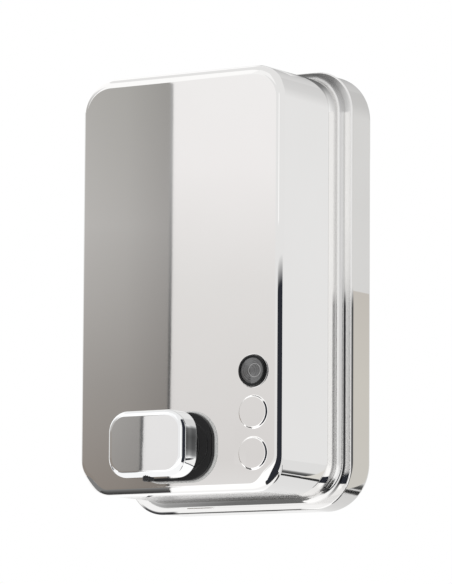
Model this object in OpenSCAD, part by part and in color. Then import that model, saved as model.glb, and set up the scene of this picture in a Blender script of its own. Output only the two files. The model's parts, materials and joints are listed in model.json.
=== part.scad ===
// Wall-mounted soap dispenser: a polished steel tank with a push button pump, a level window,
// a lockable filler lid and a hanging plate for the wall.
// The wall is the plane Y = 0, the front faces -Y, and the origin is the middle of the wall plate holes.

/* [Tank] */
// Width of the front box
front_w = 109; // [100:0.5:130]
// Height of the front box
front_h = 195; // [190:0.5:230]
// Depth of the tank from the wall to the flat front
tank_depth = 72; // [70:0.5:90]
// Depth of the rear tray
tray_depth = 18.4; // [16:0.1:22]
// Thickness of the steel sheet
sheet_t = 1; // [0.8:0.1:1.2]
// Corner radius of the front box seen from the front
front_corner_r = 16; // [12:0.5:20]
// Radius of the rounded edge round the flat front
front_edge_r = 3.2; // [3:0.1:6]
// Width of the flange at each side of the front box
flange_side_w = 6.4; // [5.5:0.1:7]
// Width of the flange over the front box
flange_top_w = 3.7; // [3.5:0.1:6]
// Width of the flange under the front box
flange_low_w = 5.7; // [4.5:0.1:6.5]
// Corner radius of the flange
flange_corner_r = 19.3; // [18.5:0.1:21]
// Radius of the hollow fillet between the box and its flange
flange_fillet_r = 3; // [2.5:0.1:3.2]
// Corner radius of the rear tray
tray_corner_r = 21.9; // [20:0.1:24]
// Radius of the rounded edge round the back of the tray
tray_edge_r = 3.6; // [3:0.1:5]
// Width of the joint lip turned in at the front of the tray
tray_lip_w = 8; // [7:0.5:10]
// Thickness of the seam gasket between flange and tray
seam_t = 0.4; // [0.3:0.1:1.2]
// How far the seam gasket lies inside the edge of the flange
seam_inset = 1.5; // [1.3:0.1:1.8]
// Width of the seam gasket
seam_w = 1.2; // [0.8:0.1:1.4]

/* [Level window] */
// Sideways place of the window and the two bosses
window_x = 40.2; // [38:0.1:41]
// Height of the window above the tank's bottom
window_rise = 54.2; // [48:0.1:58]
// Distance between the window and the bosses below it
window_pitch = 18.7; // [17:0.1:20]
// Diameter of the window's front ring
window_ring_d = 14.3; // [14.2:0.1:16]
// How far the front ring stands out
window_ring_t = 2; // [1.5:0.1:2.4]
// Diameter of the window's threaded barrel
window_barrel_d = 12.4; // [11.5:0.1:13]
// Length of the window's barrel behind the front sheet's face
window_barrel_l = 8; // [7.5:0.1:9]
// Diameter of the lens
lens_d = 11.2; // [10.4:0.1:11.6]
// Thickness of the lens
lens_t = 1.7; // [1.2:0.1:2]
// Diameter of the raised bosses
boss_d = 14.5; // [13:0.1:15]
// Height of the raised bosses
boss_h = 0.9; // [0.5:0.1:1]

/* [Button] */
// Height of the pump's axis above the tank's bottom
pump_rise = 20.7; // [20:0.1:22.5]
// Width of the button cap
cap_w = 41; // [38:0.5:46]
// Height of the button cap
cap_h = 30.2; // [29:0.1:33]
// Depth of the button cap
cap_depth = 11.5; // [11:0.1:13]
// How far the button's face stands out from the flat front
cap_reach = 28; // [27.5:0.1:31]
// Corner radius of the button cap seen from the front
cap_corner_r = 9.5; // [8:0.1:11]
// Radius of the rounded edge round the button's face
cap_edge_r = 2.8; // [2:0.1:3.2]
// Wall of the button cap
cap_wall = 1.5; // [1.2:0.1:1.8]
// Travel of the button
stroke = 9.5; // [8:0.5:9.5]
// Diameter of the nozzle over its ribs
nozzle_d = 5.2; // [4.8:0.1:5.4]
// How far the nozzle stands out below the button
nozzle_reach = 1.9; // [1.5:0.1:5]
// Distance of the nozzle's axis behind the button's face
nozzle_back = 4.3; // [4.2:0.1:4.6]
// Number of ribs round the nozzle
nozzle_ribs = 16; // [10:2:20]

/* [Pump] */
// Thickness of the pad gasket under the pump base
pad_t = 2; // [1.5:0.1:2.2]
// How far the pad gasket stands out round the pump base
pad_lap = 0.8; // [0:0.1:1]
// Width of the pump base
base_w = 42; // [38:0.5:48]
// Corner radius of the pump base seen from the front
base_corner_r = 13; // [9:0.1:13.5]
// Height of the pump base
base_h = 31; // [30:0.1:34]
// Thickness of the pump base
base_t = 2.6; // [2:0.1:2.8]
// Diameter of the collar on the pump base
collar_d = 29; // [26:0.5:29.5]
// Height of the collar on the pump base
collar_h = 1.8; // [1:0.1:1.9]
// Diameter of the barrel that passes through the front sheet
barrel_d = 21.6; // [20:0.1:23]
// Diameter of the plunger rod
rod_d = 12; // [11:0.1:12.4]
// Bore of the pump cylinder
bore_d = 15; // [14.8:0.1:15.6]
// Outer diameter of the pump cylinder
cylinder_d = 22; // [21.5:0.1:24]
// Inner length of the pump chamber
chamber_l = 32; // [31:0.5:34]
// Length of the piston head
piston_l = 6; // [5:0.1:6.5]
// Diameter of the liquid channel through the plunger
channel_d = 4; // [3:0.1:4.5]
// Diameter of the check ball
ball_d = 6.4; // [6:0.1:6.6]
// Lift of the check ball
ball_lift = 2; // [1:0.1:2.2]
// Outer diameter of the dip tube
dip_d = 7; // [6:0.1:7.4]
// Clearance between the dip tube's foot and the tank's floor
dip_floor_gap = 2.5; // [2:0.1:6]
// Wire diameter of the return spring
spring_wire = 1.2; // [0.9:0.1:1.3]
// Middle diameter of the spring's coils
spring_d = 12.4; // [12:0.1:13]
// Number of spring coils
spring_turns = 7; // [5:1:8]

/* [Filler lid] */
// Width of the filler mouth
mouth_w = 56; // [50:0.5:58]
// Depth of the filler mouth
mouth_l = 18; // [17:0.5:19]
// Distance of the mouth's middle from the wall
mouth_out = 44; // [43.5:0.1:45]
// Corner radius of the filler mouth
mouth_r = 5; // [3:0.5:7]
// How far the lid laps over the mouth
lid_lap = 5; // [4.5:0.1:5.4]
// Thickness of the lid plate
lid_t = 1; // [0.8:0.1:1.5]
// Thickness of the lid seal
seal_t = 0.8; // [0.5:0.1:1]
// Width of the lid seal
seal_w = 2; // [1.5:0.1:2.5]
// Diameter of the hinge knuckles
knuckle_d = 4; // [3.6:0.1:4.2]
// Diameter of the hinge pin
pin_d = 2; // [1.5:0.1:2.2]
// Width of the lid's middle knuckle
knuckle_w = 24; // [16:0.5:28]
// Width of each outer knuckle
outer_knuckle_w = 8; // [6:0.5:9]
// Diameter of the lock's housing
lock_d = 8; // [7.5:0.1:8.5]
// Diameter of the lock's turning core
lock_core_d = 6; // [5:0.1:6.2]
// Length of the lock cam from the lock's axis
cam_l = 11; // [10.5:0.1:12]
// Width of the lock cam
cam_w = 6; // [5:0.1:6.5]

/* [Wall plate] */
// Width of the wall plate
plate_w = 76; // [70:1:80]
// Lower end of the wall plate, below the middle
plate_low = 60; // [50:1:62]
// Upper end of the wall plate, above the middle
plate_high = 50; // [46:1:52]
// Thickness of the wall plate
plate_t = 2; // [1.5:0.1:2.2]
// Sideways distance between the screw holes
hole_pitch_x = 50; // [40:1:56]
// Upright distance between the screw holes
hole_pitch_y = 70; // [60:1:76]
// Diameter of the screw holes
hole_d = 5.2; // [4.2:0.1:6]
// Thickness of the hanging hooks
hook_t = 1.6; // [1.2:0.1:1.6]
// Height of the hanging hooks
hook_h = 10; // [8:0.5:11]
// Width of the hanger rail on the tank
hanger_w = 60; // [50:1:70]
// Depth of the pocket pressed into the tray's back
pocket_depth = 7; // [6.8:0.1:7.5]
// Width of the pocket
pocket_w = 88; // [86:1:92]
// Height of the pocket
pocket_h = 152; // [150:1:156]
// Height of the pocket's middle above the middle of the tank
pocket_y = 8; // [6:0.5:10]
// Corner radius of the pocket
pocket_r = 8; // [4:0.5:12]

/* [Clearances] */
// Gap round pieces that are screwed or pressed together
fit_gap = 0.1; // [0.05:0.01:0.2]
// Gap round pieces that slide or turn
run_gap = 0.05; // [0.03:0.01:0.08]
// Gap between faces that stop against each other
stop_gap = 0.3; // [0.2:0.05:0.4]

/* [Hidden] */
$fn = 64;
// Small length that carries a cut past a face
past = 0.5;
// Places along the depth, measured out from the wall
sheet_back = tank_depth - sheet_t;
flange_back = tray_depth + seam_t;
flange_front = flange_back + sheet_t;
// Size of the rear tray, level with the edge of the flange
tray_w = front_w + 2 * flange_side_w;
tray_h = front_h + flange_top_w + flange_low_w;
tray_y = (flange_top_w - flange_low_w) / 2;
// Top face of the front box
top_y = front_h / 2;
// Level window
window_y = window_rise - top_y;
window_hole_d = window_barrel_d + 2 * fit_gap;
lens_seat_w = 1.4;
window_bore_d = lens_d - 2 * lens_seat_w;
lens_sink = 0.3;
lens_front = tank_depth + window_ring_t - lens_sink;
lens_back = lens_front - lens_t;
window_washer_t = 1;
window_nut_t = 3;
window_nut_af = 18;
// Button
pump_y = pump_rise - top_y;
cap_front = tank_depth + cap_reach;
cap_rear = cap_front - cap_depth;
core_inset = 1;
core_front = cap_front - cap_wall;
core_rear = cap_rear + core_inset;
nozzle_out = cap_front - nozzle_back;
rib_h = 0.45;
rib_share = 0.6;
rib_inset = 0.3;
nozzle_core_d = nozzle_d - 2 * rib_h;
nozzle_bore_d = 2.8;
nozzle_low = pump_y - cap_h / 2 - nozzle_reach;
nozzle_rod_wall = 2;
nozzle_top = pump_y - rod_d / 2 - nozzle_rod_wall;
nozzle_l = nozzle_top - nozzle_low;
tip_gap = 0.2;
rod_tip = nozzle_out - channel_d / 2 - tip_gap;
// Pump
base_back = tank_depth + pad_t;
base_front = base_back + base_t;
collar_front = base_front + collar_h;
washer_t = 1;
nut_t = 4;
nut_af = 30;
thread_l = 6;
nut_front = sheet_back - washer_t;
nut_back = nut_front - nut_t;
nose_back = nut_back - thread_l;
nose_step = 1.8;
nose_d = barrel_d - 2 * nose_step;
guide_d = rod_d + 2 * run_gap;
chamber_front = nose_back;
chamber_back = chamber_front - chamber_l;
end_wall_t = 3;
chamber_end = chamber_back - end_wall_t;
seat_w = 0.7;
inlet_d = ball_d - 2 * seat_w;
inlet_boss_d = 11;
inlet_boss_wall = 0.5;
inlet_boss_l = dip_d + 2 * inlet_boss_wall;
dip_out = chamber_end - inlet_boss_l / 2;
dip_wall = 1;
dip_bore_d = dip_d - 2 * dip_wall;
dip_low = sheet_t + dip_floor_gap - top_y;
piston_front = chamber_front - stop_gap;
piston_back = piston_front - piston_l;
piston_gap = 0.3;
piston_d = bore_d - 2 * piston_gap;
seal_ring_l = 3;
seal_groove = 1.5;
seal_ring_in = piston_d - 2 * seal_groove;
rod_seal_l = 2.4;
rod_seal_w = 1.5;
rod_seal_out = rod_d + 2 * rod_seal_w;
rod_seal_place = nut_front;
ball_seat = chamber_back + sqrt(pow(ball_d / 2 + run_gap, 2) - pow(inlet_d / 2, 2));
ball_play = 0.2;
cage_in_d = ball_d + 2 * ball_play;
cage_wall = 1.1;
cage_d = cage_in_d + 2 * cage_wall;
cage_roof = ball_seat + ball_d / 2 + ball_lift + stop_gap;
cage_roof_t = 1.2;
pin_groove = 1.2;
pin_groove_d = rod_d - 2 * pin_groove;
clip_d = 1.9;
clip_l = 20;
clip_out = (core_rear + rod_tip) / 2;
clip_y = pump_y + pin_groove_d / 2 + clip_d / 2 + run_gap;
// Filler lid
lid_low = top_y + seal_t + run_gap;
lid_top = lid_low + lid_t;
lid_side = 1;
lid_w = mouth_w + 2 * (lid_lap + lid_side);
lid_back_trim = 0.7;
lid_back = mouth_out - mouth_l / 2 - lid_lap + lid_back_trim;
lid_front = mouth_out + mouth_l / 2 + lid_lap;
hinge_gap = 0.2;
hinge_y = top_y + knuckle_d / 2 + hinge_gap;
hinge_out = lid_back - knuckle_d / 2 - hinge_gap;
knuckle_gap = 0.3;
pin_end = 0.5;
hinge_w = knuckle_w + 2 * (outer_knuckle_w + knuckle_gap);
strip_gap = 0.4;
strip_back = flange_front + flange_fillet_r + strip_gap;
strip_front = hinge_out - knuckle_d / 2 - stop_gap;
strip_t = 0.8;
lock_inset = 7;
lock_out = mouth_out + mouth_l / 2 - lock_inset;
lock_head_w = 1.5;
lock_head_d = lock_d + 2 * lock_head_w;
lock_head_t = 0.6;
lock_nut_t = 2;
lock_nut_af = 10;
cam_t = 1.5;
cam_gap = 0.4;
cam_top = top_y - sheet_t - cam_gap;
cam_low = cam_top - cam_t;
spigot_d = 4;
key_slot = [3.6, 0.9, 2];
// Wall plate
hook_back = 3.8;
hook_front = hook_back + hook_t;
rail_front = hook_back - stop_gap;
rail_back = rail_front - hook_t;
rail_low = plate_high + stop_gap;
rail_room = 4;
rail_top = rail_low + hook_h + rail_room;
rail_plate_h = 14;
pad_w = 40;
pad_h = 10;
pad_r = 2;
pad_inset = 5;

// The modules draw in the wall's own frame: x sideways, y up, z out from the wall.
module on_wall() {
    rotate([90, 0, 0]) children();
}

// Tools for round shapes
module tube(d_out, d_in, from, to) {
    difference() {
        translate([0, 0, from]) cylinder(d = d_out, h = to - from);
        translate([0, 0, from - past]) cylinder(d = d_in, h = to - from + 2 * past);
    }
}

module upright(d, h) {
    rotate([-90, 0, 0]) cylinder(d = d, h = h);
}

module along_x(d, l) {
    rotate([0, 90, 0]) cylinder(d = d, h = l, center = true);
}

module hexagon(across, h) {
    cylinder(d = across / cos(30), h = h, $fn = 6);
}

module round_rect(w, h, r) {
    square([w - 2 * r, h], center = true);
    square([w, h - 2 * r], center = true);
    for (x = [-1, 1], y = [-1, 1])
        translate([x * (w / 2 - r), y * (h / 2 - r)]) circle(r);
}

module slab(w, h, r, from, to) {
    translate([0, 0, from]) linear_extrude(to - from) round_rect(w, h, r);
}

// A pan is a half section carried round a rounded rectangle: four corners, four sides and a middle.
// The section's x runs out from the corner's axis, and its y is the distance from the wall.
module pan(w, h, r, from, to) {
    for (x = [0, 1], y = [0, 1])
        mirror([x, 0, 0]) mirror([0, y, 0])
            translate([w / 2 - r, h / 2 - r, 0]) rotate_extrude(angle = 90) children();
    for (x = [0, 1])
        mirror([x, 0, 0]) translate([w / 2 - r, 0, 0])
            rotate([90, 0, 0]) linear_extrude(h - 2 * r, center = true) children();
    for (y = [0, 1])
        mirror([0, y, 0]) translate([0, h / 2 - r, 0])
            rotate(90) rotate([90, 0, 0]) linear_extrude(w - 2 * r, center = true) children();
    translate([0, 0, (from + to) / 2]) cube([w - 2 * r, h - 2 * r, to - from], center = true);
}

// Half section with one rounded outer edge at its far end
module edge_section(r, edge, from, to) {
    difference() {
        translate([0, from]) square([r, to - from]);
        translate([r - edge, to - edge]) difference() {
            square(edge + past);
            circle(edge);
        }
    }
}

module flange_section() {
    edge_section(front_corner_r, front_edge_r, flange_back, tank_depth);
    translate([front_corner_r, flange_front]) difference() {
        translate([-past, -past]) square(flange_fillet_r + past);
        translate([flange_fillet_r, flange_fillet_r]) circle(flange_fillet_r);
    }
}

// Tank pieces
module mouth_cut(grow, from, to) {
    translate([0, to, mouth_out]) rotate([90, 0, 0]) linear_extrude(to - from)
        round_rect(mouth_w + 2 * grow, mouth_l + 2 * grow, mouth_r + grow);
}

module front_shell() {
    color("silver") on_wall() difference() {
        union() {
            pan(front_w, front_h, front_corner_r, flange_back, tank_depth) flange_section();
            translate([0, tray_y, 0]) slab(tray_w, tray_h, flange_corner_r, flange_back, flange_front);
            for (row = [1, 2])
                translate([window_x, window_y - row * window_pitch, sheet_back])
                    cylinder(d = boss_d, h = sheet_t + boss_h);
        }
        pan(front_w - 2 * sheet_t, front_h - 2 * sheet_t, front_corner_r - sheet_t,
            flange_back - past, sheet_back)
            edge_section(front_corner_r - sheet_t, front_edge_r - sheet_t, flange_back - past, sheet_back);
        for (row = [1, 2])
            translate([window_x, window_y - row * window_pitch, sheet_back - past])
                cylinder(d = boss_d - 2 * sheet_t, h = past + boss_h);
        translate([window_x, window_y, sheet_back - past])
            cylinder(d = window_hole_d, h = sheet_t + 2 * past);
        translate([0, pump_y, sheet_back - past])
            cylinder(d = barrel_d + 2 * fit_gap, h = sheet_t + 2 * past);
        mouth_cut(0, top_y - sheet_t - past, top_y + past);
    }
}

module rear_tray() {
    inner_w = tray_w - 2 * sheet_t;
    inner_h = tray_h - 2 * sheet_t;
    inner_r = tray_corner_r - sheet_t;
    inner_edge = tray_edge_r - sheet_t;
    lip_w = tray_w - 2 * tray_lip_w;
    lip_h = tray_h - 2 * tray_lip_w;
    color("gainsboro") on_wall() difference() {
        union() {
            translate([0, tray_y, 0]) difference() {
                translate([0, 0, tray_depth]) mirror([0, 0, 1])
                    pan(tray_w, tray_h, tray_corner_r, 0, tray_depth)
                        edge_section(tray_corner_r, tray_edge_r, 0, tray_depth);
                translate([0, 0, tray_depth]) mirror([0, 0, 1])
                    pan(inner_w, inner_h, inner_r, sheet_t, tray_depth - sheet_t)
                        edge_section(inner_r, inner_edge, sheet_t, tray_depth - sheet_t);
                slab(lip_w, lip_h, tray_corner_r - tray_lip_w, tray_depth - 2 * sheet_t, tray_depth + past);
            }
            translate([0, pocket_y, 0])
                slab(pocket_w + 2 * sheet_t, pocket_h + 2 * sheet_t, pocket_r + sheet_t,
                    0, pocket_depth + sheet_t);
        }
        translate([0, pocket_y, 0]) slab(pocket_w, pocket_h, pocket_r, -past, pocket_depth);
    }
}

module seam_gasket() {
    outer_w = tray_w - 2 * seam_inset;
    outer_h = tray_h - 2 * seam_inset;
    outer_r = flange_corner_r - seam_inset;
    color("dimgray") on_wall() translate([0, tray_y, 0]) difference() {
        slab(outer_w, outer_h, outer_r, tray_depth, flange_back);
        slab(outer_w - 2 * seam_w, outer_h - 2 * seam_w, outer_r - seam_w,
            tray_depth - past, flange_back + past);
    }
}

module hanger_rail() {
    color("lightgray") on_wall() {
        translate([-hanger_w / 2, rail_low, rail_back]) cube([hanger_w, rail_top - rail_low, hook_t]);
        translate([-hanger_w / 2, rail_top - hook_t, rail_back])
            cube([hanger_w, hook_t, pocket_depth - rail_back]);
        translate([-hanger_w / 2, rail_top - hook_t, pocket_depth - hook_t])
            cube([hanger_w, rail_plate_h, hook_t]);
    }
}

module wall_plate() {
    color("lightgray") on_wall() difference() {
        union() {
            translate([-plate_w / 2, -plate_low, 0]) cube([plate_w, plate_low + plate_high, plate_t]);
            translate([-hanger_w / 2, plate_high - hook_t, 0]) cube([hanger_w, hook_t, hook_front]);
            translate([-hanger_w / 2, plate_high - hook_t, hook_back])
                cube([hanger_w, hook_h + hook_t, hook_t]);
        }
        for (x = [-1, 1], y = [-1, 1])
            translate([x * hole_pitch_x / 2, y * hole_pitch_y / 2, -past])
                cylinder(d = hole_d, h = plate_t + 2 * past);
    }
}

module wall_pad() {
    color("dimgray") on_wall()
        translate([0, pad_inset + pad_h / 2 - plate_low, 0])
            slab(pad_w, pad_h, pad_r, plate_t, pocket_depth);
}

// Level window pieces
module at_window() {
    on_wall() translate([window_x, window_y, 0]) children();
}

module sight_bezel() {
    color("black") at_window() difference() {
        union() {
            translate([0, 0, tank_depth]) cylinder(d = window_ring_d, h = window_ring_t);
            translate([0, 0, tank_depth - window_barrel_l])
                cylinder(d = window_barrel_d, h = window_barrel_l + past);
        }
        translate([0, 0, lens_back])
            cylinder(d = lens_d + 2 * fit_gap, h = lens_t + lens_sink + past);
        translate([0, 0, tank_depth - window_barrel_l - past])
            cylinder(d = window_bore_d, h = window_barrel_l + window_ring_t + past);
    }
}

module sight_lens() {
    color("darkslategray") at_window()
        translate([0, 0, lens_back]) cylinder(d = lens_d, h = lens_t);
}

module sight_gasket() {
    color("dimgray") at_window()
        tube(window_nut_af, window_hole_d, sheet_back - window_washer_t, sheet_back);
}

module sight_nut() {
    nut_out = sheet_back - window_washer_t - window_nut_t;
    color("black") at_window() difference() {
        translate([0, 0, nut_out]) hexagon(window_nut_af, window_nut_t);
        translate([0, 0, nut_out - past])
            cylinder(d = window_barrel_d + 2 * fit_gap, h = window_nut_t + 2 * past);
    }
}

// Fixed pump pieces
module at_pump() {
    on_wall() translate([0, pump_y, 0]) children();
}

module pump_base() {
    color("#1c1c1c") at_pump() difference() {
        union() {
            slab(base_w, base_h, base_corner_r, base_back, base_front);
            translate([0, 0, base_back]) cylinder(d = collar_d, h = collar_front - base_back);
            translate([0, 0, nut_back]) cylinder(d = barrel_d, h = base_front - nut_back);
            translate([0, 0, nose_back]) cylinder(d = nose_d, h = base_front - nose_back);
        }
        translate([0, 0, nose_back - past])
            cylinder(d = guide_d, h = collar_front - nose_back + 2 * past);
        translate([0, 0, rod_seal_place - fit_gap])
            cylinder(d = rod_seal_out + 2 * fit_gap, h = rod_seal_l + 2 * fit_gap);
    }
}

module pump_pad() {
    color("gainsboro") at_pump() difference() {
        slab(base_w + 2 * pad_lap, base_h + 2 * pad_lap, base_corner_r + pad_lap, tank_depth, base_back);
        translate([0, 0, tank_depth - past]) cylinder(d = barrel_d + 2 * fit_gap, h = pad_t + 2 * past);
    }
}

module pump_washer() {
    color("dimgray") at_pump() tube(nut_af, barrel_d + 2 * fit_gap, nut_front, sheet_back);
}

module pump_nut() {
    color("#1c1c1c") at_pump() difference() {
        translate([0, 0, nut_back]) hexagon(nut_af, nut_t);
        translate([0, 0, nut_back - past]) cylinder(d = barrel_d + 2 * fit_gap, h = nut_t + 2 * past);
    }
}

module pump_cylinder() {
    color("whitesmoke") at_pump() difference() {
        union() {
            translate([0, 0, chamber_end]) cylinder(d = cylinder_d, h = nut_back - chamber_end);
            translate([0, 0, chamber_end - inlet_boss_l])
                cylinder(d = inlet_boss_d, h = inlet_boss_l + past);
        }
        translate([0, 0, nose_back]) cylinder(d = nose_d + 2 * fit_gap, h = thread_l + past);
        translate([0, 0, chamber_back]) cylinder(d = bore_d, h = chamber_l + past);
        translate([0, 0, dip_out]) cylinder(d = inlet_d, h = chamber_back - dip_out + past);
        translate([0, -inlet_boss_d, dip_out]) upright(dip_d + 2 * fit_gap, inlet_boss_d - inlet_d / 2);
        translate([0, -inlet_boss_d, dip_out]) upright(inlet_d, inlet_boss_d);
    }
}

module rod_seal() {
    color("black") at_pump() tube(rod_seal_out, guide_d, rod_seal_place, rod_seal_place + rod_seal_l);
}

module dip_tube() {
    dip_top = pump_y - inlet_d / 2 - fit_gap;
    color("whitesmoke") on_wall() translate([0, dip_low, dip_out]) difference() {
        upright(dip_d, dip_top - dip_low);
        translate([0, -past, 0]) upright(dip_bore_d, dip_top - dip_low + 2 * past);
    }
}

module valve_cage() {
    slot_w = 2.4;
    color("whitesmoke") at_pump() difference() {
        translate([0, 0, chamber_back]) cylinder(d = cage_d, h = cage_roof + cage_roof_t - chamber_back);
        translate([0, 0, chamber_back - past]) cylinder(d = cage_in_d, h = cage_roof - chamber_back + past);
        translate([0, 0, cage_roof - past]) cylinder(d = inlet_d / 2, h = cage_roof_t + 2 * past);
        for (turn = [0, 90])
            rotate(turn) translate([-cage_d, -slot_w / 2, ball_seat])
                cube([2 * cage_d, slot_w, cage_roof - ball_seat]);
    }
}

module check_ball() {
    color("silver") at_pump() translate([0, 0, ball_seat]) sphere(d = ball_d);
}

// The return spring is one round wire on a helix, closed with a flat ring of facets at each end.
spring_low = chamber_back + spring_wire / 2 + fit_gap;
spring_high = piston_back - spring_wire / 2 - fit_gap;
spring_pitch = (spring_high - spring_low) / spring_turns;
spring_steps = 8;
spring_sides = 6;
spring_rings = spring_turns * spring_steps;
function spring_point(ring, side) =
    let (turn = 360 * ring / spring_steps, around = 360 * side / spring_sides,
         reach = spring_d / 2 + spring_wire / 2 * cos(around))
    [reach * cos(turn), reach * sin(turn),
     spring_low + spring_pitch * ring / spring_steps + spring_wire / 2 * sin(around)];
echo(spring_gap = spring_pitch - spring_wire);
echo(spring_gap_pressed = spring_pitch - stroke / spring_turns - spring_wire);

module return_spring() {
    points = [for (ring = [0:spring_rings], side = [0:spring_sides - 1]) spring_point(ring, side)];
    function at(ring, side) = ring * spring_sides + side % spring_sides;
    sides = [for (ring = [0:spring_rings - 1], side = [0:spring_sides - 1], half = [0, 1])
        half == 0
            ? [at(ring, side), at(ring, side + 1), at(ring + 1, side + 1)]
            : [at(ring, side), at(ring + 1, side + 1), at(ring + 1, side)]];
    first = [for (side = [1:spring_sides - 2]) [at(0, 0), at(0, side + 1), at(0, side)]];
    last = [for (side = [1:spring_sides - 2])
        [at(spring_rings, 0), at(spring_rings, side), at(spring_rings, side + 1)]];
    color("silver") at_pump() polyhedron(points, concat(sides, first, last));
}

// Moving pump pieces
module button_cap() {
    inner_w = cap_w - 2 * cap_wall;
    inner_h = cap_h - 2 * cap_wall;
    color("silver") at_pump() difference() {
        pan(cap_w, cap_h, cap_corner_r, cap_rear, cap_front)
            edge_section(cap_corner_r, cap_edge_r, cap_rear, cap_front);
        pan(inner_w, inner_h, cap_corner_r - cap_wall, cap_rear - past, core_front)
            edge_section(cap_corner_r - cap_wall, cap_edge_r - cap_wall, cap_rear - past, core_front);
        translate([0, -cap_h, nozzle_out]) upright(nozzle_d + 2 * fit_gap, cap_h);
    }
}

module button_core() {
    inset = 2 * (cap_wall + fit_gap);
    color("#1c1c1c") at_pump() difference() {
        pan(cap_w - inset, cap_h - inset, cap_corner_r - inset / 2, core_rear, core_front - fit_gap)
            edge_section(cap_corner_r - inset / 2, cap_edge_r - cap_wall, core_rear, core_front - fit_gap);
        translate([0, 0, core_rear - past])
            cylinder(d = rod_d + 2 * fit_gap, h = rod_tip - core_rear + past + fit_gap);
        translate([0, 0, rod_tip - past]) cylinder(d = channel_d, h = nozzle_out - rod_tip + past);
        translate([0, nozzle_top - pump_y, nozzle_out]) upright(channel_d, pump_y - nozzle_top);
        translate([0, -cap_h, nozzle_out])
            upright(nozzle_d + 2 * fit_gap, cap_h + nozzle_top - pump_y + fit_gap);
        translate([0, clip_y - pump_y, clip_out]) along_x(clip_d + 2 * fit_gap, cap_w);
    }
}

module plunger() {
    color("#1c1c1c") at_pump() difference() {
        union() {
            translate([0, 0, piston_back]) cylinder(d = piston_d, h = piston_l);
            translate([0, 0, piston_back]) cylinder(d = rod_d, h = rod_tip - piston_back);
        }
        translate([0, 0, piston_back - past]) cylinder(d = channel_d, h = rod_tip - piston_back + 2 * past);
        translate([0, 0, piston_back + (piston_l - seal_ring_l) / 2 - fit_gap])
            tube(piston_d + past, seal_ring_in - 2 * fit_gap, 0, seal_ring_l + 2 * fit_gap);
        translate([0, 0, clip_out - clip_d / 2 - fit_gap])
            tube(rod_d + past, pin_groove_d, 0, clip_d + 2 * fit_gap);
    }
}

module piston_seal() {
    seal_back = piston_back + (piston_l - seal_ring_l) / 2;
    color("black") at_pump() tube(bore_d - 2 * run_gap, seal_ring_in, seal_back, seal_back + seal_ring_l);
}

module plunger_pin() {
    color("silver") on_wall() translate([0, clip_y, clip_out]) along_x(clip_d, clip_l);
}

module nozzle() {
    rib_w = rib_share * PI * nozzle_core_d / nozzle_ribs;
    rib_root = nozzle_core_d / 2 - past;
    rib_l = nozzle_l - 2 * rib_inset;
    color("#1c1c1c") on_wall() translate([0, nozzle_low, nozzle_out]) difference() {
        union() {
            upright(nozzle_core_d, nozzle_l);
            for (rib = [0:nozzle_ribs - 1])
                rotate([0, 360 * (rib + 0.5) / nozzle_ribs, 0])
                    translate([rib_root, rib_inset, -rib_w / 2])
                        cube([nozzle_d / 2 - fit_gap - rib_root, rib_l, rib_w]);
        }
        translate([0, -past, 0]) upright(nozzle_bore_d, nozzle_l + 2 * past);
    }
}

module drip_valve() {
    lip_l = 2.4;
    lip_t = 0.8;
    lip_inset = 0.4;
    slit = [1.6, 0.3];
    color("gray") on_wall() translate([0, nozzle_low + lip_inset, nozzle_out]) difference() {
        upright(nozzle_bore_d - 2 * run_gap, lip_l);
        translate([0, lip_t, 0]) upright(slit[0], lip_l);
        translate([-slit[0] / 2, -past, -slit[1] / 2]) cube([slit[0], lip_l, slit[1]]);
    }
}

// Filler lid pieces
module lid_outline() {
    translate([0, (lid_front + lid_back) / 2])
        round_rect(lid_w, lid_front - lid_back, mouth_r + lid_lap);
}

// A flat piece on the tank's top: the outline's y runs out from the wall
module on_top(from, to) {
    translate([0, to, 0]) rotate([90, 0, 0]) linear_extrude(to - from) children();
}

module at_lock() {
    on_wall() translate([0, 0, lock_out]) children();
}

module filler_lid() {
    color("silver") on_wall() difference() {
        union() {
            on_top(lid_low, lid_top) lid_outline();
            translate([0, hinge_y, hinge_out]) along_x(knuckle_d, knuckle_w);
            translate([-knuckle_w / 2, lid_low, hinge_out]) cube([knuckle_w, lid_t, knuckle_d]);
        }
        translate([0, hinge_y, hinge_out]) along_x(pin_d + 2 * run_gap, lid_w);
        translate([0, lid_low - past, lock_out]) upright(lock_d + 2 * fit_gap, lid_t + 2 * past);
    }
}

module lid_seal() {
    inner = 1;
    color("black") on_wall() difference() {
        mouth_cut(inner + seal_w, lid_low - seal_t, lid_low);
        mouth_cut(inner, lid_low - seal_t - past, lid_low + past);
    }
}

module hinge_bracket() {
    color("silver") on_wall() difference() {
        union() {
            translate([-hinge_w / 2, top_y, strip_back]) cube([hinge_w, strip_t, strip_front - strip_back]);
            for (side = [-1, 1])
                translate([side * (knuckle_w + outer_knuckle_w + 2 * knuckle_gap) / 2, 0, 0]) {
                    translate([0, hinge_y, hinge_out]) along_x(knuckle_d, outer_knuckle_w);
                    translate([-outer_knuckle_w / 2, top_y, strip_back])
                        cube([outer_knuckle_w, strip_t, hinge_out - strip_back]);
                    translate([-outer_knuckle_w / 2, top_y, hinge_out - knuckle_d / 2])
                        cube([outer_knuckle_w, hinge_y - top_y, knuckle_d / 2]);
                }
        }
        translate([0, hinge_y, hinge_out]) along_x(pin_d + 2 * run_gap, lid_w);
    }
}

module hinge_pin() {
    color("gray") on_wall() translate([0, hinge_y, hinge_out]) along_x(pin_d, hinge_w + 2 * pin_end);
}

module lock_housing() {
    color("silver") at_lock() difference() {
        union() {
            translate([0, lid_top, 0]) upright(lock_head_d, lock_head_t);
            translate([0, cam_top + fit_gap, 0]) upright(lock_d, lid_top - cam_top - fit_gap + past);
        }
        translate([0, cam_low, 0]) upright(lock_core_d + 2 * run_gap, lid_top);
    }
}

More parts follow.
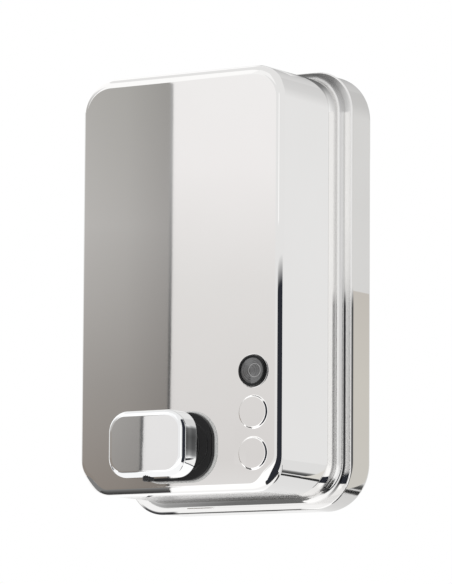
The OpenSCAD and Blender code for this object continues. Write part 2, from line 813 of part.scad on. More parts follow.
module lock_nut() {
    nut_low = lid_low - lock_nut_t;
    color("gray") at_lock() difference() {
        translate([0, nut_low, 0]) rotate([-90, 0, 0]) hexagon(lock_nut_af, lock_nut_t);
        translate([0, nut_low - past, 0]) upright(lock_d + 2 * fit_gap, lock_nut_t + 2 * past);
    }
}

module lock_core() {
    core_sink = 0.1;
    core_top = lid_top + lock_head_t - core_sink;
    color("gold") at_lock() difference() {
        union() {
            translate([0, cam_top, 0]) upright(lock_core_d, core_top - cam_top);
            translate([0, cam_low, 0]) upright(spigot_d, core_top - cam_low);
        }
        translate([-key_slot[0] / 2, core_top - key_slot[2], -key_slot[1] / 2])
            cube([key_slot[0], key_slot[2] + past, key_slot[1]]);
    }
}

// The cam points sideways when the lid is free, and turns forward under the sheet to lock it.
module lock_cam() {
    color("silver") at_lock() difference() {
        union() {
            translate([0, cam_low, 0]) upright(cam_w, cam_t);
            translate([0, cam_low, -cam_w / 2]) cube([cam_l, cam_t, cam_w]);
        }
        translate([0, cam_low - past, 0]) upright(spigot_d + 2 * run_gap, cam_t + 2 * past);
    }
}

module cam_screw() {
    head_d = 5.6;
    head_t = 1.4;
    slot_w = 0.8;
    slot_h = 0.5;
    color("gray") at_lock() difference() {
        translate([0, cam_low - head_t, 0]) upright(head_d, head_t);
        translate([-head_d / 2 - past, cam_low - head_t - past, -slot_w / 2])
            cube([head_d + 2 * past, slot_h + past, slot_w]);
    }
}

front_shell();
rear_tray();
seam_gasket();
hanger_rail();
wall_plate();
wall_pad();
sight_bezel();
sight_lens();
sight_gasket();
sight_nut();
pump_base();
pump_pad();
pump_washer();
pump_nut();
pump_cylinder();
rod_seal();
dip_tube();
valve_cage();
check_ball();
return_spring();
button_cap();
button_core();
plunger();
piston_seal();
plunger_pin();
nozzle();
drip_valve();
filler_lid();
lid_seal();
hinge_bracket();
hinge_pin();
lock_housing();
lock_nut();
lock_core();
lock_cam();
cam_screw();
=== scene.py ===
# %% [markdown]
# # A wall soap dispenser in polished steel
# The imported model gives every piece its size, place and motion. This lesson dresses it: each visible piece
# is built again with smooth surfaces and a finish of its own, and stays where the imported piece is.

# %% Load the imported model
import json
import math

import bmesh
import bpy
from mathutils import Matrix, Vector, geometry

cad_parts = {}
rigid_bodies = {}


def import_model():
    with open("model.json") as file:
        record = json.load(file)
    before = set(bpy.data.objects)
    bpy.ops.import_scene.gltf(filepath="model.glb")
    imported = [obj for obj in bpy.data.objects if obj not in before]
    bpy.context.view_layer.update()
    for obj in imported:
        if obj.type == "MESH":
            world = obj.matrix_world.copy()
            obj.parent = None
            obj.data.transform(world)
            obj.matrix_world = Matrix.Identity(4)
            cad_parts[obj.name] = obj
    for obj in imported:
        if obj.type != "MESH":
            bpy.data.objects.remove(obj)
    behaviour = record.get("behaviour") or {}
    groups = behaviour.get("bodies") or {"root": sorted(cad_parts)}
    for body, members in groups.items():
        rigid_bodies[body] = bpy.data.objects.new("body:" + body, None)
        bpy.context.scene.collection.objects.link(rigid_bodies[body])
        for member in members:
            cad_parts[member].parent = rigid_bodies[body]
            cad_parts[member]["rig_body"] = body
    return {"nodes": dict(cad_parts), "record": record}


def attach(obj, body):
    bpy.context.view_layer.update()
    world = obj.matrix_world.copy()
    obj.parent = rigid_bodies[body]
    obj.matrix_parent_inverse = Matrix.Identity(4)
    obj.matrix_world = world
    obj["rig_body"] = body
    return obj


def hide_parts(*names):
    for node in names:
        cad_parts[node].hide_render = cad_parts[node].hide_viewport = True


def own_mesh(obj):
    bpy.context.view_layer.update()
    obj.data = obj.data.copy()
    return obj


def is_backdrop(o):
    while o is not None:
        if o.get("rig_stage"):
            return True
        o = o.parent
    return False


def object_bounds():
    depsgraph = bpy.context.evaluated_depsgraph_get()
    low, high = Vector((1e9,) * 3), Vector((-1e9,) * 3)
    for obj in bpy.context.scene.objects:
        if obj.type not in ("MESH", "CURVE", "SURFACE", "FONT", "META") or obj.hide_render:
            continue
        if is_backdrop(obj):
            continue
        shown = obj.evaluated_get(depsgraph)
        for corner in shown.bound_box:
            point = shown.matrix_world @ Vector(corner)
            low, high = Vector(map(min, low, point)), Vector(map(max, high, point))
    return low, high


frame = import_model()
cad_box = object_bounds()
print("packed pieces:", len(frame["nodes"]))

# %% [markdown]
# ## Sizes
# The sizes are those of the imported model, in millimetres, because a maker reads them more easily than
# metres. "Out" is the distance from the wall, so the flat front of the tank is at 72 mm out.

# %% Sizes of the tank
MM = 0.001
SHEET = 1.0
FRONT_W, FRONT_H, FRONT_CORNER, FRONT_EDGE = 109.0, 195.0, 16.0, 3.2
TOP_SOFTER, CORNER_SOFTER = 1.7, 2.4
FRONT_OUT, TOP = 72.0, 97.5
FLANGE_CORNER, FLANGE_FILLET, FLANGE_BACK = 19.3, 3.0, 18.8
FLANGE_FRONT = FLANGE_BACK + SHEET
TRAY_W, TRAY_H, TRAY_Z, TRAY_CORNER, TRAY_EDGE = 121.8, 204.4, -1.0, 21.9, 3.6
TRAY_DEPTH, TRAY_LIP = 18.4, 8.0
print("tank:", TRAY_W, "x", TRAY_H, "mm")

# %% [markdown]
# ## A skin that knows which way it faces
# A mirror finish shows every error of a surface. If Blender guesses the shading from the flat facets, the
# reflections swim near the edges. So a skin keeps, for each corner of each face, the true direction of the
# surface there, worked out from the section that made it. Points that meet are welded, so the mesh stays
# closed.

# %% Skin
GRAIN = 1e-7


class Skin:
    """Faces whose corners carry the true direction of the surface."""

    def __init__(self):
        self.points, self.known, self.faces, self.facing = [], {}, [], []

    def corner(self, point):
        key = tuple(round(value / GRAIN) for value in point)
        if key not in self.known:
            self.known[key] = len(self.points)
            self.points.append(point)
        return self.known[key]

    def face(self, corners):
        ids = [self.corner(point) for point, _ in corners]
        kept = [i for i in range(len(ids)) if ids[i] != ids[i - 1]]
        if len({ids[i] for i in kept}) < 3:
            return
        side = sum((Vector(corners[i][1]) for i in kept), Vector())
        if geometry.normal([Vector(self.points[ids[i]]) for i in kept]).dot(side) < 0:
            kept.reverse()
        self.faces.append([ids[i] for i in kept])
        self.facing += [corners[i][1] for i in kept]

    def band(self, low, high, leave=()):
        for i in range(len(low)):
            j = (i + 1) % len(low)
            if i not in leave:
                self.face([low[i], low[j], high[j], high[i]])

    def mesh(self, name):
        made = bpy.data.meshes.new(name)
        made.from_pydata(self.points, [], self.faces)
        made.polygons.foreach_set("use_smooth", [True] * len(self.faces))
        made.normals_split_custom_set(self.facing)
        return made


print("points closer than", GRAIN, "m are one")

# %% [markdown]
# ## Sections carried round an outline
# Pressed and moulded pieces are mostly one half section carried round a rounded rectangle or a circle. An
# outline holds, for each of its points, the centre of its corner, the corner's radius and the direction it
# faces. A section point holds its inset from that corner, its height, and the way the surface faces there:
# sideways and up.

# %% Outlines and sections
CORNER_STEPS = 28
ROUND_STEPS = 72


def on_front(x, z, out):
    return (x, -out, z)


def on_top(x, out, up):
    return (x, -out, up)


def metres(point):
    return tuple(value * MM for value in point)


def outline(width, height, corner, x=0.0, y=0.0):
    """A rounded rectangle, from the middle of its right side and round to the left."""
    rim = []
    for quarter, (right, up) in enumerate(((1, 1), (-1, 1), (-1, -1), (1, -1))):
        for step in range(CORNER_STEPS + 1):
            turn = math.radians(90 * (quarter + step / CORNER_STEPS))
            rim.append((x + right * (width / 2 - corner), y + up * (height / 2 - corner),
                        corner, math.cos(turn), math.sin(turn)))
    return rim


def circle(x, y, steps=ROUND_STEPS):
    """A circle whose radius comes from the section's own insets."""
    turns = [2 * math.pi * step / steps for step in range(steps)]
    return [(x, y, 0.0, math.cos(turn), math.sin(turn)) for turn in turns]


def arc(inset, height, radius, start, end, hollow=False, steps=12):
    """Section points round an arc. A hollow one faces its own centre."""
    points = []
    for step in range(steps + 1):
        turn = math.radians(start + (end - start) * step / steps)
        side, up = math.cos(turn), math.sin(turn)
        sign = -1 if hollow else 1
        points.append((inset + radius * side, height + radius * up, sign * side, sign * up))
    return points


def flat(side, up, *points):
    """Section points that all face one way."""
    return [(inset, height, side, up) for inset, height in points]


print("corner steps:", CORNER_STEPS)

# %% [markdown]
# A sweep joins each ring of points to the next one. The section may change on its way round, as the tank's
# front edge does, and single segments may stay open where a plate with a hole fills them later.

# %% Sweeps


def sweep(skin, rim, section, stand=on_front, leave=None):
    """Carries the section round the rim, and returns its rings. A section that changes is a function of how
    far the rim faces up. Leave names segments that stay open."""
    rows = [section(dy) if callable(section) else section for *_, dy in rim]
    rings = []
    for level in zip(*rows):
        ring = []
        for (x, y, corner, dx, dy), (inset, height, side, up) in zip(rim, level):
            reach = corner + inset
            place = metres(stand(x + reach * dx, y + reach * dy, height))
            ring.append((place, stand(side * dx, side * dy, up)))
        rings.append(ring)
    for number, (low, high) in enumerate(zip(rings, rings[1:])):
        skin.band(low, high, (leave or {}).get(number, ()))
    return rings


def loop(ring):
    return [point for point, _ in ring]


print("a sweep's points are in metres, its sizes in units of", MM, "m")

# %% [markdown]
# A flat face can have holes of any shape, so it is cut into triangles that keep to its rim and its holes. A
# triangle stays only where its middle lies inside the rim and outside every hole.

# %% Plates with holes
CUT_GRAIN = 1e-5
FRONT, BACK, UP, DOWN = (0, -1, 0), (0, 1, 0), (0, 0, 1), (0, 0, -1)
XZ, XY = (0, 2), (0, 1)


def inside(spot, polygon):
    """Whether a flat point lies in a polygon: it crosses an odd number of its edges."""
    crossings = 0
    for (ax, ay), (bx, by) in zip(polygon, polygon[1:] + polygon[:1]):
        if (ay > spot[1]) != (by > spot[1]):
            crossings += spot[0] < ax + (spot[1] - ay) / (by - ay) * (bx - ax)
    return crossings % 2 == 1


def plate(skin, rim, holes, facing, axes):
    """A flat face between a rim and its holes, all loops of points. Axes are the two that it lies along."""
    loops = [rim, *holes]
    points = [point for one in loops for point in one]
    edges, first = [], 0
    for one in loops:
        edges += [(first + i, first + (i + 1) % len(one)) for i in range(len(one))]
        first += len(one)
    spots = [[tuple(point[axis] / MM for axis in axes) for point in one] for one in loops]
    spread = [Vector(spot) for one in spots for spot in one]
    _, _, faces, sources, _, _ = geometry.delaunay_2d_cdt(spread, edges, [], 0, CUT_GRAIN)
    for face in faces:
        ids = [sources[i][0] for i in face]
        middle = sum((spread[i] for i in ids), Vector((0, 0))) / len(ids)
        if inside(middle, spots[0]) and not any(inside(middle, hole) for hole in spots[1:]):
            skin.face([(points[i], facing) for i in ids])


print("plates merge points closer than", CUT_GRAIN, "mm")

# %% [markdown]
# ## Shader maths as plain expressions
# A finish is easier to read as a formula than as a list of links. A small class wraps a socket and turns
# sums, differences and products into Math nodes. Every other node comes from one function: its type, its
# settings, its sockets.

# %% Sockets and nodes


class Value:
    """A node's output socket that can be used in a formula."""

    def __init__(self, tree, socket):
        self.tree, self.socket = tree, socket

    def maths(self, operation, first, second):
        return node(self.tree, "ShaderNodeMath", {"operation": operation}, {0: first, 1: second})

    def __add__(self, other):
        return self.maths("ADD", self, other)

    def __sub__(self, other):
        return self.maths("SUBTRACT", self, other)

    def __rsub__(self, other):
        return self.maths("SUBTRACT", other, self)

    def __mul__(self, other):
        return self.maths("MULTIPLY", self, other)

    __radd__ = __add__
    __rmul__ = __mul__


def node(tree, kind, settings=None, sockets=None, output=0):
    """Adds a node: its settings first, then the values or links of its sockets."""
    made = tree.nodes.new(kind)
    for name, setting in (settings or {}).items():
        if name == "stops":
            stops = made.color_ramp.elements
            for place, colour in setting[:-2]:
                stops.new(place)
            for stop, (place, colour) in zip(stops, setting):
                stop.position, stop.color = place, (*colour, 1.0)
        else:
            setattr(made, name, setting)
    for name, value in (sockets or {}).items():
        if isinstance(value, Value):
            tree.links.new(value.socket, made.inputs[name])
        else:
            made.inputs[name].default_value = value
    return Value(tree, made.outputs[output]) if made.outputs else made


MIX_SHARE, MIX_FIRST, MIX_SECOND, MIX_COLOUR = 0, 6, 7, 2


def mixed(tree, share, first, second, blend="MIX"):
    """Mixes two colours. A Mix node keeps its colour sockets behind those for numbers and vectors."""
    return node(tree, "ShaderNodeMix", {"data_type": "RGBA", "blend_type": blend},
                {MIX_SHARE: share, MIX_FIRST: first, MIX_SECOND: second}, output=MIX_COLOUR)


def empty_material(name):
    made = bpy.data.materials.new(name)
    made.use_nodes = True
    made.node_tree.nodes.clear()
    return made, made.node_tree


print("formulas use +, - and *")

# %% [markdown]
# ## Finishes
# A metal's colour is its reflection, so its tone, its roughness and a very slight wave do the work. Each
# finish mixes two tones by a soft cloud of noise, lets the same cloud move the roughness, and raises a fine
# grain on the surface. The sizes of cloud and grain are what tell polished sheet, moulded plastic and
# rubber apart.

# %% One way to make a finish
CLOUD_DETAIL, GRAIN_DETAIL, CLOUD_SHARE = 4.0, 2.0, 0.6


def span(tree, value, low, high, soft):
    """1 where a value lies between low and high, with soft ends outside them."""
    ends = [node(tree, "ShaderNodeMapRange", {"interpolation_type": "SMOOTHSTEP"},
                 {"Value": value, "From Min": start, "From Max": start + soft})
            for start in (low - soft, high)]
    return ends[0] * (1 - ends[1])


def finish(name, tones, rough, cloud, grain, stretch=(1, 1, 1), satin=(), grime=None, shine=None, **shader):
    """Tones and rough are pairs that a cloud of noise mixes. Grain is the bump's scale and its height in
    metres. A satin band has a low end, a high end and their softness, first out from the wall and then in
    height, and its roughness. The painted shade is a function that says where shade and dark reflections are
    painted, and the painted highlight one where highlights are painted."""
    made, tree = empty_material(name)
    spot = node(tree, "ShaderNodeTexCoord", output="Object")
    clouds = node(tree, "ShaderNodeTexNoise", {}, {"Vector": spot, "Scale": cloud, "Detail": CLOUD_DETAIL})
    colour = mixed(tree, clouds, (*tones[0], 1), (*tones[1], 1))
    drawn = node(tree, "ShaderNodeMapping", {}, {"Vector": spot, "Scale": stretch})
    fine = node(tree, "ShaderNodeTexNoise", {}, {"Vector": drawn, "Scale": grain[0], "Detail": GRAIN_DETAIL})
    bump = node(tree, "ShaderNodeBump", {}, {"Strength": 1.0, "Distance": grain[1], "Height": fine})
    roughness = rough[0] + (rough[1] - rough[0]) * (CLOUD_SHARE * clouds + (1 - CLOUD_SHARE) * fine)
    if satin or grime or shine:
        x, y, z = (node(tree, "ShaderNodeSeparateXYZ", {}, {0: spot}, output=axis) for axis in range(3))
    for outs, heights, dull in satin:
        roughness = roughness + dull * span(tree, 0 - y, *outs) * span(tree, z, *heights)
    # Painted highlight: a lighter colour is mixed in where the steel is to look brighter.
    if shine:
        colour = mixed(tree, shine(tree, x, 0 - y, z), colour, PAINTED_HIGHLIGHT)
    # Painted shade: a dark colour is mixed in where shade and dark reflections are painted.
    if grime:
        colour = mixed(tree, grime(tree, x, 0 - y, z), colour, PAINTED_SHADE)
    surface = node(tree, "ShaderNodeBsdfPrincipled", {},
                   {"Base Color": colour, "Roughness": roughness, "Normal": bump, **shader})
    node(tree, "ShaderNodeOutputMaterial", {}, {"Surface": surface})
    return made


print("the cloud's share in the roughness:", CLOUD_SHARE)

# %% [markdown]
# Dark lines are painted at the seams as painted shade and painted dark reflections: at the foot of the
# fillet and under the hemmed edge, most of them low on the right side and round the lower left corner,
# with a faint painted shade in the fillet itself. All of it is worked out from the distance to the
# tank's own outlines, so it lies on the piece from every side. Each span is a low end, a high end and
# their softness, in metres.

# %% Painted shade of the seams
PAINTED_SHADE = (0.03, 0.03, 0.035, 1)
SEAM_DARK, FILLET_DARK, TAIL_DARK, UNDER_DARK = 0.9, 0.2, 0.95, 0.6
RIGHT_SIDE, LOW_SIDE = (0.05, 1, 0.002), (-0.09, -0.011, 0.011)
ABOVE_BEND, LOW_HEM = (-0.09, 1, 0.011), (-1, -0.0985, 0.002)
FOOT, FOOT_OUT = (0.0026, 0.0034, 0.0003), (0, 0.0203, 0.0002)
FILLET, FILLET_OUT = (0.0006, 0.0026, 0.0006), (0, 0.0225, 0.0006)
TAIL, TAIL_X = (-0.0009, 1, 0.0006), (-0.0505, -0.036, 0.004)
UNDER, UNDER_X = (-0.0003, 1, 0.0002), (-0.036, 0.02, 0.006)
HEM_EDGE, TRAY_SEAM = (0.0184, 0.0194, 0.0001), (0.0178, 0.02, 0.0002)


def low_side(tree, x, z):
    return span(tree, x, *RIGHT_SIDE) * span(tree, z, *LOW_SIDE)


def beyond(x, z, width, height, corner, middle_z=0.0):
    """How far a point lies outside a rounded rectangle, whose sizes are in millimetres."""
    past = [axis.maths("ABSOLUTE", axis, 0) - (size / 2 - corner) * MM
            for axis, size in ((x, width), (z - middle_z * MM, height))]
    past = [axis.maths("MAXIMUM", axis, 0) for axis in past]
    square = past[0] * past[0] + past[1] * past[1]
    return square.maths("SQRT", square, 0) - corner * MM


# Painted shade and dark reflections on the front shell's seams, fillet and lower left corner.
def shell_painted_shade(tree, x, out, z):
    from_box = beyond(x, z, FRONT_W, FRONT_H, FRONT_CORNER)
    from_hem = beyond(x, z, TRAY_W, TRAY_H, FLANGE_CORNER, TRAY_Z)
    foot = span(tree, from_box, *FOOT) * span(tree, out, *FOOT_OUT)
    edge = span(tree, out, *HEM_EDGE)
    fillet = span(tree, from_box, *FILLET) * span(tree, out, *FILLET_OUT)
    tail = span(tree, from_hem, *TAIL) * span(tree, x, *TAIL_X)
    under = span(tree, from_hem, *UNDER) * span(tree, x, *UNDER_X)
    return (SEAM_DARK * (foot + edge) * low_side(tree, x, z)
            + FILLET_DARK * fillet * span(tree, z, *ABOVE_BEND)
            + (TAIL_DARK * tail + UNDER_DARK * under) * span(tree, z, *LOW_HEM))


# Painted shade in the seam between the tray and the flange.
def tray_painted_shade(tree, x, out, z):
    return SEAM_DARK * span(tree, out, *TRAY_SEAM) * low_side(tree, x, z)


print("dark of the seams:", SEAM_DARK)

# %% [markdown]
# A lighter colour is painted on as a highlight in a band beside the fillet and on the edges of the two
# bosses. The fillet, the line beside it and the tank's underside are given a satin roughness. The light
# ring off the middle of the level window's lens is a painted highlight too.

# %% Painted highlights and satin bands
PAINTED_HIGHLIGHT = (0.95, 0.945, 0.935, 1)
HIGHLIGHT_OUT, EDGE_SOFT = (0.0212, 0.0296, 0.0006), 0.0001
WINDOW_X, WINDOW_Z, WINDOW_PITCH = 40.2, -43.3, 18.7
BOSS_R, BOSS_ROUND = 7.25, 0.45
MARK_ASIDE, MARK_R, MARK_W, MARK_SOFT, MARK_LIGHT = 1.6, 3.0, 0.16, 0.00008, 0.4
SHELL_SATIN = (((0.0215, 0.025, 0.002), (-1, 1, 0.006), 0.22),
               ((0.0196, 0.0204, 0.0004), (-0.084, 1, 0.006), 0.22),
               ((0.026, 0.054, 0.004), (-1, -0.0969, 0.0003), 0.2))


def ring_mask(tree, x, z, middle, inner, outer, soft):
    """1 on a ring round a middle on the front. Middle, inner and outer are in millimetres."""
    across, up = x - middle[0] * MM, z - middle[1] * MM
    square = across * across + up * up
    return span(tree, square.maths("SQRT", square, 0), inner * MM, outer * MM, soft)


# Painted highlights on the front shell: a band beside the fillet and the edges of the bosses.
def shell_painted_highlight(tree, x, out, z):
    bright = span(tree, out, *HIGHLIGHT_OUT) * span(tree, x, *RIGHT_SIDE)
    for row in (1, 2):
        middle = WINDOW_X, WINDOW_Z - row * WINDOW_PITCH
        bright = bright + ring_mask(tree, x, z, middle, BOSS_R - BOSS_ROUND, BOSS_R + BOSS_ROUND, EDGE_SOFT)
    return bright


# A painted highlight ring on the lens.
def lens_painted_highlight(tree, x, out, z):
    middle = WINDOW_X + MARK_ASIDE, WINDOW_Z
    return MARK_LIGHT * ring_mask(tree, x, z, middle, MARK_R - MARK_W / 2, MARK_R + MARK_W / 2, MARK_SOFT)


print("satin bands:", len(SHELL_SATIN))

# %% [markdown]
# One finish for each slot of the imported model: its two tones, its two roughnesses, the scale of its cloud,
# and the scale and height of its grain. Polished sheet has a wide, low wave, and turned and moulded pieces
# a fine grain.

# %% The finishes
RECIPES = {
    # The front's steel carries painted shade and painted highlights besides its own tones.
    "polished_steel": dict(tones=((0.76, 0.752, 0.742), (0.80, 0.795, 0.79)), rough=(0.008, 0.02), cloud=14,
                           grain=(9, 0.00002), satin=SHELL_SATIN, grime=shell_painted_shade, shine=shell_painted_highlight,
                           Metallic=1.0),
    # The tray's tones, darker than the front's, are a painted shade for the shadowed wall close behind it.
    "tray_steel": dict(tones=((0.63, 0.622, 0.608), (0.68, 0.674, 0.664)), rough=(0.03, 0.07), cloud=18,
                       grain=(11, 0.00002), grime=tray_painted_shade, Metallic=1.0),
    "chrome_plate": dict(tones=((0.83, 0.835, 0.84), (0.87, 0.875, 0.88)), rough=(0.008, 0.02), cloud=40,
                         grain=(60, 0.000002), Metallic=1.0),
    "plated_sheet": dict(tones=((0.52, 0.53, 0.55), (0.66, 0.67, 0.68)), rough=(0.22, 0.42), cloud=160,
                         grain=(700, 0.00001), Metallic=1.0),
    "bright_steel": dict(tones=((0.60, 0.60, 0.60), (0.70, 0.70, 0.70)), rough=(0.16, 0.3), cloud=300,
                         grain=(2500, 0.000004), stretch=(1, 1, 8), Metallic=1.0),
    "spring_steel": dict(tones=((0.50, 0.50, 0.50), (0.62, 0.62, 0.62)), rough=(0.22, 0.36), cloud=500,
                         grain=(3000, 0.000004), Metallic=1.0),
    "brass_core": dict(tones=((0.66, 0.50, 0.23), (0.76, 0.60, 0.30)), rough=(0.18, 0.32), cloud=300,
                       grain=(2500, 0.000004), Metallic=1.0),
    "black_plastic": dict(tones=((0.009, 0.009, 0.010), (0.014, 0.014, 0.015)), rough=(0.34, 0.48), cloud=180,
                          grain=(1600, 0.000012), **{"Specular IOR Level": 0.25}),
    "white_plastic": dict(tones=((0.74, 0.74, 0.71), (0.80, 0.80, 0.78)), rough=(0.35, 0.5), cloud=120,
                          grain=(1400, 0.00001)),
    "pale_rubber": dict(tones=((0.74, 0.74, 0.73), (0.80, 0.80, 0.79)), rough=(0.45, 0.6), cloud=200,
                        grain=(1800, 0.00001)),
    "black_rubber": dict(tones=((0.018, 0.018, 0.018), (0.03, 0.03, 0.03)), rough=(0.5, 0.7), cloud=200,
                         grain=(1800, 0.00002)),
    "window_lens": dict(tones=((0.085, 0.085, 0.088), (0.125, 0.125, 0.128)), rough=(0.03, 0.07), cloud=260,
                        grain=(300, 0.000003), shine=lens_painted_highlight,
                        **{"Coat Weight": 1.0, "Coat Roughness": 0.02}),
}
FINISHES = {name: finish(name, **recipe) for name, recipe in RECIPES.items()}
print("finishes:", len(FINISHES))

# %% [markdown]
# ## Pieces keep their place
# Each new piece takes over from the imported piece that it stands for: the same body, so that it moves with
# it, and the same finish slot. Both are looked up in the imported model, so a piece only has to name the
# packed one. The photograph shows no image of the button in the steel front, so the pump's outer pieces
# give none.

# %% Pieces
SLOTS = {row["node"]: row["material_slot"] for row in frame["record"]["subparts"]}
dressed = set()


def show(name, mesh):
    piece = bpy.data.objects.new(name, mesh)
    bpy.context.scene.collection.objects.link(piece)
    return piece


NO_IMAGE = {"button_cap", "button_core", "plunger", "nozzle", "pump_base", "pump_pad", "drip_valve",
            "plunger_pin", "rod_seal", "piston_seal"}


def stand_for(piece, packed):
    """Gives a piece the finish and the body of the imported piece, and takes over from it."""
    piece.visible_glossy = packed not in NO_IMAGE
    piece.data.materials.clear()
    piece.data.materials.append(FINISHES[SLOTS[packed]])
    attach(piece, frame["nodes"][packed]["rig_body"])
    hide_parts(packed)
    dressed.add(packed)
    print(piece.name, "faces:", len(piece.data.polygons))
    return piece


def build(name, skin, packed):
    return stand_for(show(name, skin.mesh(name)), packed)


print("slots:", len(set(SLOTS.values())))

# %% [markdown]
# ## Camera
# The photograph was taken from the right and a little below with a long lens. The camera stands on a line
# that is turned and lowered about the middle of the tank, and it aims just beside that middle, as the
# picture is framed.

# %% Camera
PICTURE_H = 584
FOCAL_PX = 4138.5
VIEW_TURN, VIEW_RISE, VIEW_ROLL = math.radians(32.01), math.radians(-6.81), math.radians(0.36)
VIEW_DISTANCE = 1928.5
AIM_RIGHT, AIM_UP = 2.45, -1.41

middle = Vector(metres(on_front(0, 0, FRONT_OUT / 2)))
away = Vector((math.sin(VIEW_TURN) * math.cos(VIEW_RISE), -math.cos(VIEW_TURN) * math.cos(VIEW_RISE),
               math.sin(VIEW_RISE)))
right = (-away).cross(Vector(UP)).normalized()
above = right.cross(-away)
eye = middle + away * VIEW_DISTANCE * MM
target = middle + (right * AIM_RIGHT + above * AIM_UP) * MM
lens = bpy.data.cameras.new("camera")
lens.lens = FOCAL_PX * lens.sensor_width / PICTURE_H
lens.clip_end = 50
camera = bpy.data.objects.new("camera", lens)
bpy.context.scene.collection.objects.link(camera)
look = (target - eye).to_track_quat("-Z", "Y").to_matrix() @ Matrix.Rotation(VIEW_ROLL, 3, "Z")
camera.matrix_world = Matrix.Translation(eye) @ look.to_4x4()
bpy.context.scene.camera = camera
bpy.context.scene.view_settings.view_transform = "Standard"
print("lens:", round(lens.lens, 1), "mm")

# %% [markdown]
# ## Front shell
# The tank's front is a deep-drawn box of steel sheet. One section makes its rounded edge, its wall and the
# hollow fillet, and a second one the inside, one sheet's thickness away. The flange round it is wider at
# the sides than at the top, so its hemmed edge follows an outline of its own, and flat plates fill what
# lies between.

# %% Front shell: the drawn section
HEM_BACK, HEM_W = 18.48, 1.3
HEM_R = (FLANGE_FRONT - HEM_BACK) / 2
ARC_STEPS = 12
shell = Skin()


def edge_round(up):
    """The radius of the front's edge, which is softer along the top and at the two lower corners."""
    if up > 0:
        return FRONT_EDGE + TOP_SOFTER * up ** 2
    return FRONT_EDGE + CORNER_SOFTER * 4 * up ** 2 * (1 - up ** 2)


def drawn_section(up):
    bend = edge_round(up)
    return (arc(-bend, FRONT_OUT - bend, bend, 90, 0)
            + arc(FLANGE_FILLET, FLANGE_FRONT + FLANGE_FILLET, FLANGE_FILLET, 180, 270, hollow=True))


def inner_section(up):
    bend = edge_round(up)
    return flat(-1, 0, (-SHEET, FLANGE_BACK)) + arc(-bend, FRONT_OUT - bend, bend - SHEET, 0, 90, hollow=True)


front_rim = outline(FRONT_W, FRONT_H, FRONT_CORNER)
flange_rim = outline(TRAY_W, TRAY_H, FLANGE_CORNER, 0, TRAY_Z)
drawn = sweep(shell, front_rim, drawn_section, leave={ARC_STEPS: (CORNER_STEPS,)})
hem = sweep(shell, flange_rim,
            arc(-HEM_R, HEM_BACK + HEM_R, HEM_R, 90, -90)
            + flat(0, -1, (-HEM_W, HEM_BACK)) + flat(-1, 0, (-HEM_W, HEM_BACK), (-HEM_W, FLANGE_BACK)))
inner = sweep(shell, front_rim, inner_section, leave={0: (CORNER_STEPS,)})
plate(shell, loop(hem[0]), [loop(drawn[-1])], FRONT, XZ)
plate(shell, loop(hem[-1]), [loop(inner[0])], BACK, XZ)
print("rings of the section:", len(drawn), len(hem), len(inner))

# %% [markdown]
# The front carries the pump hole, the window hole and two raised bosses under the window. A boss is pressed
# from behind, so its edge is a soft step: a hollow arc that runs into a round one. A fine lip stands round
# the window.

# %% Front shell: holes and bosses
PUMP_Z, PUMP_HOLE = -76.8, 10.9
WINDOW_HOLE, LIP_R, LIP_ROUND = 6.3, 7.5, 0.3

front_holes, inner_holes = [], []
for x, z, radius in ((0, PUMP_Z, PUMP_HOLE), (WINDOW_X, WINDOW_Z, WINDOW_HOLE)):
    cut = sweep(shell, circle(x, z), flat(-1, 0, (radius, FRONT_OUT), (radius, FRONT_OUT - SHEET)))
    front_holes.append(loop(cut[0]))
    inner_holes.append(loop(cut[-1]))
lip = sweep(shell, circle(WINDOW_X, WINDOW_Z), arc(LIP_R, FRONT_OUT, LIP_ROUND, 0, 180))
plate(shell, loop(lip[-1]), [front_holes[-1]], FRONT, XZ)
front_holes[-1] = loop(lip[0])
step_mid = FRONT_OUT + BOSS_ROUND
boss_step = (arc(BOSS_R + BOSS_ROUND, step_mid, BOSS_ROUND, 270, 180, hollow=True)
             + arc(BOSS_R - BOSS_ROUND, step_mid, BOSS_ROUND, 0, 90))
for row in (1, 2):
    boss = sweep(shell, circle(WINDOW_X, WINDOW_Z - row * WINDOW_PITCH), boss_step)
    front_holes.append(loop(boss[0]))
    plate(shell, loop(boss[-1]), [], FRONT, XZ)
plate(shell, loop(drawn[0]), front_holes, FRONT, XZ)
plate(shell, loop(inner[-1]), inner_holes, BACK, XZ)
print("front openings:", len(front_holes))

# %% [markdown]
# The tank is filled through a mouth in its top. The sweeps left that flat part open, outside and inside, so
# a plate with a hole fills each of them, and a short wall joins the two.

# %% Front shell: the filler mouth in its top
MOUTH_W, MOUTH_L, MOUTH_CORNER, MOUTH_OUT = 56.0, 18.0, 5.0, 44.0


def flat_top(low, high):
    """The four corners of the flat top between two rings."""
    return [low[CORNER_STEPS][0], low[CORNER_STEPS + 1][0], high[CORNER_STEPS + 1][0], high[CORNER_STEPS][0]]


mouth = sweep(shell, outline(MOUTH_W, MOUTH_L, MOUTH_CORNER, 0, MOUTH_OUT),
              flat(-1, 0, (0, TOP), (0, TOP - SHEET)), on_top)
plate(shell, flat_top(drawn[ARC_STEPS], drawn[ARC_STEPS + 1]), [loop(mouth[0])], UP, XY)
plate(shell, flat_top(inner[0], inner[1]), [loop(mouth[-1])], DOWN, XY)
build("front_shell_polished", shell, "front_shell")

# %% [markdown]
# ## Rear tray
# The back is a shallow tray with a wide corner and a rounded back edge. Its rim turns in behind the flange,
# and a pocket pressed into its back hides the hanger. The pocket's edges are rounded as a press leaves
# them.

